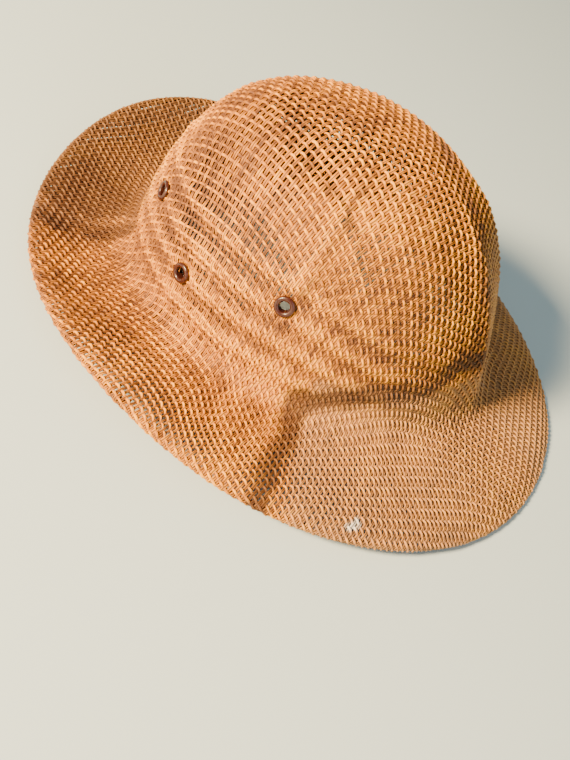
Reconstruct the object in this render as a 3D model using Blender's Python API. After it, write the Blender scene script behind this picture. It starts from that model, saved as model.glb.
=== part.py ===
"""Sun helmet of pressed woven straw: one shell of crown and brim, and six enamelled vent eyelets.

The helmet stands on its brim on the plane z = 0, with its front towards -Y, its back towards +Y
and the wearer's left towards +X. Lengths are in metres. Bearings are in degrees, counted from +X
towards +Y, so the front is at 270 and the back at 90.
"""
import math

import bmesh
import bpy
import numpy as np
from mathutils import Matrix, Vector

MM = 0.001

# Crown block, measured level on the line where the crown meets the brim
CROWN_HEIGHT = 113.4 * MM
CROWN_WALL_POWER = 0.67
CROWN_RISE_POWER = 1.35
CROWN_TOP_FORWARD = 14.4 * MM

# Straw wall, the soft corner between crown and brim, and the rolled edge
WALL = 1.7 * MM
CORNER_RISE = 13.0 * MM
CORNER_RUN = 13.0 * MM
EDGE_ROLL_WIDTH = 12.0 * MM
EDGE_ROLL_DROP = 2.2 * MM
BEAD_RADIUS = 2.3 * MM

# Pressed folds that run round the foot of the crown like a wrapped scarf
FOLD_COUNT = 4
FOLD_FIRST = 18.0 * MM
FOLD_PITCH = 14.7 * MM
FOLD_RELIEF = 1.5 * MM
FOLD_SHARPNESS = 1.5
FOLD_CLEAR_OF_FOOT = 5.0 * MM
FOLD_CLEAR_LENGTH = 8.0 * MM
FOLD_BACK_DROP = 24.1 * MM
FOLD_DROP_FROM = 80.0
FOLD_DROP_TO = 160.0
FOLD_BACK_SHARE = 0.35
FOLD_FADE_FROM = 120.0
FOLD_FADE_TO = 165.0

# Creases between the crown's pressed panels: bearing, the share of the relief that is left at the
# crown's foot, relief, and width in degrees. The rest of the relief fades out over the folds.
PANEL_RIDGES = (
    {"bearing": 0.0, "foot_share": 0.0, "relief": 1.4 * MM, "width": 9.0},
    {"bearing": 75.0, "foot_share": 0.8, "relief": 5.7 * MM, "width": 8.0},
    {"bearing": 105.0, "foot_share": 0.8, "relief": 5.7 * MM, "width": 8.0},
    {"bearing": 180.0, "foot_share": 0.0, "relief": 1.4 * MM, "width": 9.0},
    {"bearing": 255.0, "foot_share": 0.0, "relief": 1.2 * MM, "width": 9.0},
    {"bearing": 285.0, "foot_share": 0.0, "relief": 1.2 * MM, "width": 9.0},
)
RIDGE_SOFTNESS = 0.1
RIDGE_FADE_DEPTH = 10.0 * MM
RIDGE_FADE_LENGTH = 14.0 * MM
RIDGE_APEX_FADE = 2.2

# Soft dents in the top of the crown, seen from above: centre, half length, half width, the turn
# of their length from +X, and depth
DENTS = (
    {"x": 45.0 * MM, "y": -24.0 * MM, "run": 22.0 * MM, "spread": 7.0 * MM, "turn": 60.0,
     "depth": 1.8 * MM},
    {"x": 12.0 * MM, "y": -34.0 * MM, "run": 16.0 * MM, "spread": 11.0 * MM, "turn": 80.0,
     "depth": 1.2 * MM},
)
DENT_FROM_SHARE = 0.6
DENT_FADE_SHARE = 0.2

# Brim sections round the hat, evenly spaced: bearing in degrees, then in millimetres the crown's
# radius and height at its foot, the reach of the brim's edge from the crown's axis, the height of
# the edge, and how deep the brim dishes between the two
BRIM_COLUMNS = ("bearing", "crown", "foot", "reach", "height", "dish")
BRIM_SECTIONS = (
    (0, 89.3, 1.7, 152.0, -1.3, 1.5),
    (30, 92.6, 2.1, 156.0, -12.1, 0.5),
    (60, 100.0, 0.5, 162.3, -21.5, -1.0),
    (90, 103.5, -1.0, 165.3, -23.4, -1.0),
    (120, 100.8, -0.5, 161.5, -20.3, -1.0),
    (150, 93.8, 1.0, 154.5, -11.4, 0.5),
    (180, 89.5, 1.9, 151.8, -0.1, 1.5),
    (210, 92.3, 2.1, 155.9, 11.3, 4.0),
    (240, 101.0, 2.3, 162.2, 19.2, 7.0),
    (270, 106.8, 2.5, 162.4, 10.8, 6.0),
    (300, 101.2, 2.2, 159.6, 7.4, 4.0),
    (330, 93.0, 1.5, 153.6, 8.3, 2.5),
)

# Creases that run across the brim: bearing, depth, half width in degrees
BRIM_CREASES = (
    {"bearing": 286.0, "depth": 3.0 * MM, "width": 7.0},
    {"bearing": 68.0, "depth": 1.2 * MM, "width": 4.0},
)
CREASE_ROUNDNESS = 1.4
CREASE_INWARD = 0.8

# Vent eyelets on the wearer's left, mirrored to the right: bearing and height on the crown
EYELET_ROWS = (
    {"name": "rear", "bearing": -5.3, "height": 49.9 * MM},
    {"name": "middle", "bearing": -43.4, "height": 29.7 * MM},
    {"name": "front", "bearing": -69.6, "height": 45.1 * MM},
)
EYELET_RADIUS = 5.4 * MM
EYELET_BORE = 2.7 * MM
EYELET_BARREL = 3.4 * MM
EYELET_CROWNING = 1.3 * MM
EYELET_CLINCH = 4.6 * MM
EYELET_SHEET = 0.7 * MM
EYELET_SEGMENTS = 12
FIT_GAP = 0.35 * MM
DRILL_LENGTH = 20.4 * MM
SEAT_TURN = 2.0
SEAT_STEP = 3.0 * MM
SEAT_FLAT = 6.0 * MM

# How the hat settles on a flat surface, on its back rim and the root of its front brim: turn
# about X in degrees, turn about Y in degrees, and the move that centres it over the plane
REST_PITCH = 4.9
REST_ROLL = -0.76
REST_X = -0.14 * MM
REST_Y = -2.18 * MM
REST_RISE = 13.52 * MM

# Rings that the shell is drawn through: counts, and shares of each stretch
COLUMNS = 72
OUTER_DOME_RINGS = 8
OUTER_FOLD_STEPS = (6, 5, 4, 3, 2, 1, 0)
OUTER_BRIM_SHARES = (0.0, 0.2, 0.4, 0.6, 0.78, 0.9, 1.0)
INNER_DOME_RINGS = 5
INNER_FOLD_STEPS = (5, 3, 1)
INNER_BRIM_SHARES = (0.0, 0.25, 0.5, 0.75, 0.93)
INNER_RELIEF = 0.3
CORNER_SHARES = (0.0, 1.0 / 3.0, 2.0 / 3.0)
DOME_SPACING = 1.3
STEP_OVER_CORNER = 2.0 * MM
BEAD_ANGLES = (40.0, 0.0, -40.0, -70.0, -110.0, -145.0, -180.0)

STRAW_COLOUR = (0.56, 0.31, 0.13, 1.0)
ENAMEL_COLOUR = (0.09, 0.035, 0.03, 1.0)


def smooth_step(x):
    """0 below 0, 1 above 1, with a soft start and end."""
    x = np.clip(x, 0.0, 1.0)
    return x * x * (3.0 - 2.0 * x)


def turn_between(bearing, other):
    """Smallest signed turn from one bearing to another, in degrees."""
    return (np.asarray(bearing) - other + 180.0) % 360.0 - 180.0


def section_value(column, bearing):
    """Smooth closed curve through one column of the brim's sections."""
    rows = np.array(BRIM_SECTIONS)[:, BRIM_COLUMNS.index(column)] * MM
    count = len(rows)
    waves = np.fft.fft(rows) / count
    phi = np.radians(bearing)
    value = np.full(np.shape(phi), waves[0].real)
    for k in range(1, count // 2):
        value = value + 2.0 * (waves[k].real * np.cos(k * phi) - waves[k].imag * np.sin(k * phi))
    return value + waves[count // 2].real * np.cos(count // 2 * phi)


def fold_drop(bearing):
    """How far the pressed folds have sunk towards the back."""
    from_front = np.abs(turn_between(bearing, 270.0))
    return FOLD_BACK_DROP * smooth_step((from_front - FOLD_DROP_FROM) / (FOLD_DROP_TO - FOLD_DROP_FROM))


def fold_top(bearing):
    """Height of the upper edge of the folds."""
    return FOLD_FIRST + (FOLD_COUNT - 0.5) * FOLD_PITCH - fold_drop(bearing)


def ridge_relief(bearing, height):
    """Raised creases between the panels, which fade out at the apex and in the folds."""
    relief = 0.0
    above_folds = smooth_step((height - fold_top(bearing) + RIDGE_FADE_DEPTH) / RIDGE_FADE_LENGTH)
    for ridge in PANEL_RIDGES:
        off = turn_between(bearing, ridge["bearing"]) / ridge["width"]
        strength = ridge["foot_share"] + (1.0 - ridge["foot_share"]) * above_folds
        rounded = np.hypot(off, RIDGE_SOFTNESS) - RIDGE_SOFTNESS
        relief = relief + ridge["relief"] * strength * np.exp(-rounded)
    below_apex = np.sqrt(np.clip(1.0 - height / CROWN_HEIGHT, 0.0, 1.0))
    return relief * np.minimum(1.0, RIDGE_APEX_FADE * below_apex)


def seat_fade(bearing, height):
    """0 where an eyelet is seated and 1 away from it, so that the wall is even under it."""
    fade = 1.0
    for row in EYELET_ROWS:
        for seat in (row["bearing"], 180.0 - row["bearing"]):
            along = np.radians(turn_between(bearing, seat)) * section_value("crown", seat)
            away = np.hypot(along, height - row["height"])
            fade = fade * smooth_step((away - SEAT_FLAT) / SEAT_FLAT)
    return fade


def fold_relief(bearing, height):
    """Pressed folds round the foot of the crown."""
    lap = (height + fold_drop(bearing) - FOLD_FIRST) / FOLD_PITCH
    crest = (0.5 + 0.5 * np.cos(2.0 * np.pi * lap)) ** FOLD_SHARPNESS
    inside = (lap > -0.5) & (lap < FOLD_COUNT - 0.5)
    over_foot = height - section_value("foot", bearing)
    clear_of_corner = smooth_step((over_foot - FOLD_CLEAR_OF_FOOT) / FOLD_CLEAR_LENGTH)
    from_front = np.abs(turn_between(bearing, 270.0))
    fade = smooth_step((from_front - FOLD_FADE_FROM) / (FOLD_FADE_TO - FOLD_FADE_FROM))
    strength = (1.0 - (1.0 - FOLD_BACK_SHARE) * fade) * clear_of_corner * seat_fade(bearing, height)
    return FOLD_RELIEF * strength * np.where(inside, crest, 0.0)


def dent_depth(x, y, share):
    """Depth of the soft dents at a place in the top of the crown."""
    depth = 0.0
    for dent in DENTS:
        turn = math.radians(dent["turn"])
        along = ((x - dent["x"]) * math.cos(turn) + (y - dent["y"]) * math.sin(turn)) / dent["run"]
        across = ((y - dent["y"]) * math.cos(turn) - (x - dent["x"]) * math.sin(turn)) / dent["spread"]
        depth = depth + dent["depth"] * np.exp(-along ** 2 - across ** 2)
    return depth * smooth_step((share - DENT_FROM_SHARE) / DENT_FADE_SHARE)


def crown_point(bearing, height, relief=1.0):
    """Point on the crown's outside at a height over its foot."""
    share = np.clip(height / CROWN_HEIGHT, 0.0, 1.0)
    lift = np.arcsin(share ** (1.0 / CROWN_RISE_POWER))
    radius = section_value("crown", bearing) * np.cos(lift) ** CROWN_WALL_POWER
    radius = radius + ridge_relief(bearing, height) + relief * fold_relief(bearing, height)
    phi = np.radians(bearing)
    x = radius * np.cos(phi)
    y = radius * np.sin(phi) - CROWN_TOP_FORWARD * share
    return np.stack(np.broadcast_arrays(x, y, height - dent_depth(x, y, share)), -1)


def brim_point(bearing, share):
    """Point on the brim's upper side, from the crown's foot (0) to the top of the edge bead (1)."""
    inner = section_value("crown", bearing)
    width = section_value("reach", bearing) - BEAD_RADIUS - inner
    foot = section_value("foot", bearing)
    edge = section_value("height", bearing)
    radius = inner + width * share
    height = foot + (edge - foot) * share
    height = height - section_value("dish", bearing) * 4.0 * share * (1.0 - share)
    roll = np.clip(1.0 - (1.0 - share) * width / EDGE_ROLL_WIDTH, 0.0, 1.0)
    height = height + EDGE_ROLL_DROP * (share - roll * roll)
    for crease in BRIM_CREASES:
        off = turn_between(bearing, crease["bearing"]) / crease["width"]
        across = np.exp(-np.abs(off) ** CREASE_ROUNDNESS)
        height = height - crease["depth"] * across * np.sin(np.pi * share ** CREASE_INWARD)
    phi = np.radians(bearing)
    point = (radius * np.cos(phi), radius * np.sin(phi), height)
    return np.stack(np.broadcast_arrays(*point), -1)


def corner_point(bearing, share):
    """Point on the soft corner, from the crown's wall (0) to the brim (1)."""
    foot = section_value("foot", bearing)
    start = crown_point(bearing, foot + CORNER_RISE)
    corner = crown_point(bearing, foot)
    reach = section_value("reach", bearing) - BEAD_RADIUS - section_value("crown", bearing)
    end = brim_point(bearing, CORNER_RUN / reach)
    share = np.asarray(share)[..., None]
    return (1.0 - share) ** 2 * start + 2.0 * share * (1.0 - share) * corner + share ** 2 * end


def rest(points):
    """Turn and move points from the crown's own frame to the frame of the hat at rest."""
    turn = rest_turn()
    move = np.array((REST_X, REST_Y, REST_RISE))
    return np.asarray(points) @ np.array(turn).T + move


def rest_turn():
    """Turn of the crown's own frame when the hat is at rest."""
    pitch = Matrix.Rotation(math.radians(REST_PITCH), 3, "X")
    roll = Matrix.Rotation(math.radians(REST_ROLL), 3, "Y")
    return roll @ pitch


def shell_rings(dome_rings, fold_steps, brim_shares, relief):
    """Rings of points from just below the apex, down the crown and out over the brim."""
    bearing = np.arange(COLUMNS) * 360.0 / COLUMNS
    start = section_value("foot", bearing) + CORNER_RISE
    top = fold_top(bearing)
    top_lift = np.arcsin((top / CROWN_HEIGHT) ** (1.0 / CROWN_RISE_POWER))
    rings = []
    for k in range(dome_rings):
        share = ((k + 1.0) / dome_rings) ** DOME_SPACING
        lift = math.pi / 2.0 + (top_lift - math.pi / 2.0) * share
        height = CROWN_HEIGHT * np.sin(lift) ** CROWN_RISE_POWER
        rings.append(crown_point(bearing, height, relief))
    for step in fold_steps:
        height = FOLD_FIRST + 0.5 * step * FOLD_PITCH - fold_drop(bearing)
        height = np.maximum(height, start + STEP_OVER_CORNER * (step + 1.0))
        rings.append(crown_point(bearing, height, relief))
    for share in CORNER_SHARES:
        rings.append(corner_point(bearing, share))
    root = CORNER_RUN / (section_value("reach", bearing) - BEAD_RADIUS - section_value("crown", bearing))
    for share in brim_shares:
        rings.append(brim_point(bearing, root + (1.0 - root) * share))
    return rings


def bead_rings():
    """Rings round the rolled edge, from the brim's upper side to its underside."""
    bearing = np.arange(COLUMNS) * 360.0 / COLUMNS
    phi = np.radians(bearing)
    reach = section_value("reach", bearing) - BEAD_RADIUS
    middle = section_value("height", bearing) - BEAD_RADIUS
    rings = []
    for degrees in BEAD_ANGLES:
        angle = math.radians(degrees)
        radius = reach + BEAD_RADIUS * math.cos(angle)
        height = middle + BEAD_RADIUS * math.sin(angle)
        rings.append(np.stack((radius * np.cos(phi), radius * np.sin(phi), height), -1))
    return rings


def inner_rings(apex):
    """Rings of the shell's inside, one wall thickness under its smooth outside."""
    rings = shell_rings(INNER_DOME_RINGS, INNER_FOLD_STEPS, INNER_BRIM_SHARES, INNER_RELIEF)
    grid = np.stack([np.broadcast_to(apex, rings[0].shape)] + rings)
    along = np.roll(grid, -1, axis=1) - np.roll(grid, 1, axis=1)
    down = np.gradient(grid, axis=0)
    inward = np.cross(along, down)[1:]
    inward = inward / np.linalg.norm(inward, axis=-1, keepdims=True)
    return list(grid[1:] + WALL * inward)


def on_plane(points):
    """Points of the hat at rest, pressed flat where they meet the plane it stands on."""
    points = rest(points)
    points[..., 2] = np.maximum(points[..., 2], 0.0)
    return points


def build_shell(material):
    """Crown, brim and rolled edge as one closed wall."""
    apex = crown_point(0.0, CROWN_HEIGHT)
    outer = shell_rings(OUTER_DOME_RINGS, OUTER_FOLD_STEPS, OUTER_BRIM_SHARES, 1.0) + bead_rings()
    inner = inner_rings(apex)
    rings = outer + inner[::-1]
    mesh = bmesh.new()
    top = mesh.verts.new(on_plane(apex))
    ceiling = mesh.verts.new(on_plane(apex - np.array((0.0, 0.0, WALL))))
    loops = [[mesh.verts.new(point) for point in on_plane(ring)] for ring in rings]
    for k in range(COLUMNS):
        after = (k + 1) % COLUMNS
        mesh.faces.new((top, loops[0][k], loops[0][after]))
        for upper, lower in zip(loops, loops[1:]):
            mesh.faces.new((upper[k], lower[k], lower[after], upper[after]))
        mesh.faces.new((ceiling, loops[-1][after], loops[-1][k]))
    bmesh.ops.triangulate(mesh, faces=mesh.faces[:])
    bmesh.ops.recalc_face_normals(mesh, faces=mesh.faces[:])
    return add_object("hat_body", mesh, material)


def eyelet_seats():
    """Name, centre and outward direction of each eyelet's seat, in the frame of the hat at rest."""
    seats = []
    for row in EYELET_ROWS:
        for side, bearing in (("left", row["bearing"]), ("right", 180.0 - row["bearing"])):
            height = row["height"]
            centre = crown_point(bearing, height, 0.0)
            before = crown_point(bearing - SEAT_TURN, height, 0.0)
            after = crown_point(bearing + SEAT_TURN, height, 0.0)
            lower = crown_point(bearing, height - SEAT_STEP, 0.0)
            upper = crown_point(bearing, height + SEAT_STEP, 0.0)
            outward = Vector(np.cross(after - before, upper - lower)).normalized()
            seats.append((f"eyelet_{side}_{row['name']}", Vector(rest(centre)), rest_turn() @ outward))
    return seats


def eyelet_profile():
    """Radius and height over the straw of the eyelet's section, from its bore round its lip."""
    seat = FIT_GAP
    back = -(WALL + 0.12 * MM + FIT_GAP)
    lip = seat + EYELET_CROWNING
    return (
        (EYELET_BORE, back - 0.2 * MM),
        (EYELET_BORE, 0.3 * lip),
        (EYELET_BORE + 0.4 * MM, 0.75 * lip),
        (0.5 * (EYELET_BORE + EYELET_RADIUS) - 0.2 * MM, lip),
        (EYELET_RADIUS - 0.7 * MM, 0.75 * lip),
        (EYELET_RADIUS, seat + 0.1 * MM),
        (EYELET_RADIUS - 0.2 * MM, seat),
        (EYELET_BARREL, seat),
        (EYELET_BARREL, back),
        (EYELET_CLINCH, back),
        (EYELET_CLINCH - 0.2 * MM, back - EYELET_SHEET),
        (EYELET_BORE + 0.3 * MM, back - EYELET_SHEET),
    )


def eyelet_mesh():
    """Turned body of one eyelet, its axis along +Z and its seat at z = 0."""
    mesh = bmesh.new()
    profile = eyelet_profile()
    loops = []
    for k in range(EYELET_SEGMENTS):
        angle = 2.0 * math.pi * k / EYELET_SEGMENTS
        loops.append([mesh.verts.new((r * math.cos(angle), r * math.sin(angle), z)) for r, z in profile])
    for k in range(EYELET_SEGMENTS):
        here = loops[k]
        after = loops[(k + 1) % EYELET_SEGMENTS]
        for i in range(len(profile)):
            j = (i + 1) % len(profile)
            mesh.faces.new((here[i], after[i], after[j], here[j]))
    bmesh.ops.recalc_face_normals(mesh, faces=mesh.faces[:])
    return mesh


def add_object(name, mesh, material):
    """Turn a bmesh into a smooth shaded object in the scene."""
    data = bpy.data.meshes.new(name)
    mesh.to_mesh(data)
    mesh.free()
    if material is not None:
        data.materials.append(material)
    data.shade_smooth()
    data.set_sharp_from_angle(angle=math.radians(60.0))
    thing = bpy.data.objects.new(name, data)
    bpy.context.scene.collection.objects.link(thing)
    return thing


def seat_eyelets(shell, material):
    """Set the six eyelets in round holes through the shell."""
    eyelet = None
    for name, centre, outward in eyelet_seats():
        turn = Vector((0.0, 0.0, 1.0)).rotation_difference(outward)
        if eyelet is None:
            eyelet = add_object(name, eyelet_mesh(), material)
            piece = eyelet
        else:
            piece = bpy.data.objects.new(name, eyelet.data)
            bpy.context.scene.collection.objects.link(piece)
        piece.rotation_mode = "QUATERNION"
        piece.rotation_quaternion = turn
        piece.location = centre
        drill = bmesh.new()
        radius = EYELET_BARREL + FIT_GAP
        bmesh.ops.create_cone(drill, cap_ends=True, segments=EYELET_SEGMENTS, radius1=radius,
                              radius2=radius, depth=DRILL_LENGTH)
        cutter = add_object(f"cutter_{name}", drill, None)
        cutter.rotation_mode = "QUATERNION"
        cutter.rotation_quaternion = turn
        cutter.location = centre
        cutter.hide_render = True
        cutter.display_type = "WIRE"
        hole = shell.modifiers.new(f"hole_{name}", "BOOLEAN")
        hole.operation = "DIFFERENCE"
        hole.solver = "EXACT"
        hole.object = cutter


def make_material(name, colour, roughness):
    """Principled material with one colour."""
    material = bpy.data.materials.new(name)
    material.use_nodes = True
    shader = material.node_tree.nodes["Principled BSDF"]
    shader.inputs["Base Color"].default_value = colour
    shader.inputs["Roughness"].default_value = roughness
    shader.inputs["Metallic"].default_value = 0.0
    return material


def main():
    """Build the helmet."""
    for thing in list(bpy.data.objects):
        bpy.data.objects.remove(thing, do_unlink=True)
    straw = make_material("straw", STRAW_COLOUR, 0.75)
    enamel = make_material("enamel", ENAMEL_COLOUR, 0.35)
    shell = build_shell(straw)
    seat_eyelets(shell, enamel)


if __name__ == "__main__":
    main()
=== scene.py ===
"""Looks of the woven straw sun helmet: its cloth, rolled edge, eyelets, floor, light and camera.

The hat stands on z = 0 with its front towards -Y and the wearer's left towards +X. Lengths are in
metres and angles in degrees, unless a line says otherwise. The surface is worked out in the
crown's own frame, where bearings run from +X towards +Y, and is then turned and moved to the
frame of the hat at rest.
"""
import logging
import math
from collections.abc import Callable
from dataclasses import dataclass, field
from enum import Enum

import bpy
import numpy as np
from mathutils import Euler, Matrix, Vector


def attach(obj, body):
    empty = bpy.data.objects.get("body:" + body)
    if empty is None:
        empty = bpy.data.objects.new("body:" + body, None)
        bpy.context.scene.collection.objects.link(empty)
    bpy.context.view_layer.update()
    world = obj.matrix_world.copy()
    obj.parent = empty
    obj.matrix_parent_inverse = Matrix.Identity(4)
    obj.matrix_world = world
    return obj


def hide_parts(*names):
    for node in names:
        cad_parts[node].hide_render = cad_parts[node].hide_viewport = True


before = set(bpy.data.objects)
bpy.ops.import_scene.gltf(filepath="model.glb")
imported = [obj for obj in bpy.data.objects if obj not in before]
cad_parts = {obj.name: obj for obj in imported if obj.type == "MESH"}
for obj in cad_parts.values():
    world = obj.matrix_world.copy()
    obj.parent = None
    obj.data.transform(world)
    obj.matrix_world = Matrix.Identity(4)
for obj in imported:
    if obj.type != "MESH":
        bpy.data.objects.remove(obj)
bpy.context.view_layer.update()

logging.basicConfig(level=logging.INFO, format="%(message)s")
LOG = logging.getLogger("scene")

MM = 0.001
TINY = 1e-9  # keeps a division by a length from failing
TINY_AREA = 1e-16  # the same for the square of an area
FRONT = 270.0  # bearing of the hat's front
UV_LENGTH = 10.0 * MM  # length of strand that one unit of its UV map covers
WAVES = 3  # waves of each length in a drift
MARK_EDGE = 3  # how sharply a mark ends
NOISE_RANGE = (0.3, 0.7)  # values that a noise texture mostly takes

Array = np.ndarray
Range = tuple[float, float]  # start and width
Socket = bpy.types.NodeSocket
Tree = bpy.types.NodeTree
Colour = tuple[float, float, float, float]


def rise(x: Array, start: float, width: float) -> Array:
    """Soft step from 0 at the start of a range to 1 past its width."""
    x = np.clip((x - start) / width, 0.0, 1.0)
    return x * x * (3.0 - 2.0 * x)


def turn_between(bearing: Array, other: float) -> Array:
    """Smallest signed turn from one bearing to others, from -180 to 180."""
    return (np.asarray(bearing) - other + 180.0) % 360.0 - 180.0


def from_front(bearing: Array) -> Array:
    """Unsigned turn from the front of the hat."""
    return np.abs(turn_between(bearing, FRONT))


def bearing_of(x: Array, y: Array) -> Array:
    """Bearing of places, from -180 to 180."""
    return np.degrees(np.arctan2(y, x))


def unit(vectors: Array) -> Array:
    """Bring vectors along the last axis to a length of 1."""
    return vectors / np.maximum(np.linalg.norm(vectors, axis=-1, keepdims=True), TINY)


def place_at(bearing: Array, radius: Array, height: Array) -> Array:
    """Points by bearing, radius and height, with a last axis of 3."""
    phi = np.radians(bearing)
    return np.stack(np.broadcast_arrays(radius * np.cos(phi), radius * np.sin(phi), height), -1)


@dataclass(frozen=True)
class Section:
    """One section of the brim, in millimetres."""

    crown: float  # reach of the crown's foot from its axis
    foot: float  # height of the crown's foot
    reach: float  # of the brim's edge
    height: float  # of the brim's edge
    dish: float  # how deep the brim dishes between foot and edge


@dataclass(frozen=True)
class Ridge:
    """A crease between two pressed panels of the crown."""

    bearing: float
    relief: float  # how far it stands out
    width: float  # half width in degrees
    foot_share: float  # share of its relief that is left within the folds


@dataclass(frozen=True)
class Dent:
    """A soft dent in the top of the crown, seen from above."""

    x: float  # centre
    y: float  # centre
    run: float  # half length
    spread: float  # half width
    turn: float  # of its length from +X
    depth: float


@dataclass(frozen=True)
class Crease:
    """A crease that runs across the brim."""

    bearing: float
    depth: float
    width: float  # half width in degrees


@dataclass(frozen=True)
class Seat:
    """Place of one eyelet on the crown."""

    name: str  # the eyelet's node
    bearing: float
    height: float  # over the crown's foot


# Crown, foot, reach, height and dish, at every 30 degrees from a bearing of 0.
SECTIONS = (
    Section(89.3, 1.7, 152.0, -1.3, 1.5),
    Section(92.6, 2.1, 156.0, -12.1, 0.5),
    Section(100.0, 0.5, 162.3, -21.5, -1.0),
    Section(103.5, -1.0, 165.3, -23.4, -1.0),
    Section(100.8, -0.5, 161.5, -20.3, -1.0),
    Section(93.8, 1.0, 154.5, -11.4, 0.5),
    Section(89.5, 1.9, 151.8, -0.1, 1.5),
    Section(92.3, 2.1, 155.9, 11.3, 4.0),
    Section(101.0, 2.3, 162.2, 19.2, 7.0),
    Section(106.8, 2.5, 162.4, 10.8, 6.0),
    Section(101.2, 2.2, 159.6, 7.4, 4.0),
    Section(93.0, 1.5, 153.6, 8.3, 2.5),
)

RIDGES = (
    Ridge(bearing=0.0, relief=1.4 * MM, width=9.0, foot_share=0.0),
    Ridge(bearing=75.0, relief=5.7 * MM, width=8.0, foot_share=0.8),
    Ridge(bearing=105.0, relief=5.7 * MM, width=8.0, foot_share=0.8),
    Ridge(bearing=180.0, relief=1.4 * MM, width=9.0, foot_share=0.0),
    Ridge(bearing=255.0, relief=1.2 * MM, width=9.0, foot_share=0.0),
    Ridge(bearing=285.0, relief=1.2 * MM, width=9.0, foot_share=0.0),
)

DENTS = (
    Dent(x=45.0 * MM, y=-24.0 * MM, run=22.0 * MM, spread=7.0 * MM, turn=60.0, depth=1.8 * MM),
    Dent(x=12.0 * MM, y=-34.0 * MM, run=16.0 * MM, spread=11.0 * MM, turn=80.0, depth=1.2 * MM),
)

CREASES = (
    Crease(bearing=286.0, depth=3.0 * MM, width=7.0),
    Crease(bearing=68.0, depth=1.2 * MM, width=4.0),
)

SEATS = tuple(
    Seat(f"eyelet_{side}_{name}", bearing if side == "left" else 180.0 - bearing, height)
    for name, bearing, height in (
        ("rear", -5.3, 49.9 * MM),
        ("middle", -43.4, 29.7 * MM),
        ("front", -69.6, 45.1 * MM),
    )
    for side in ("left", "right")
)


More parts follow.
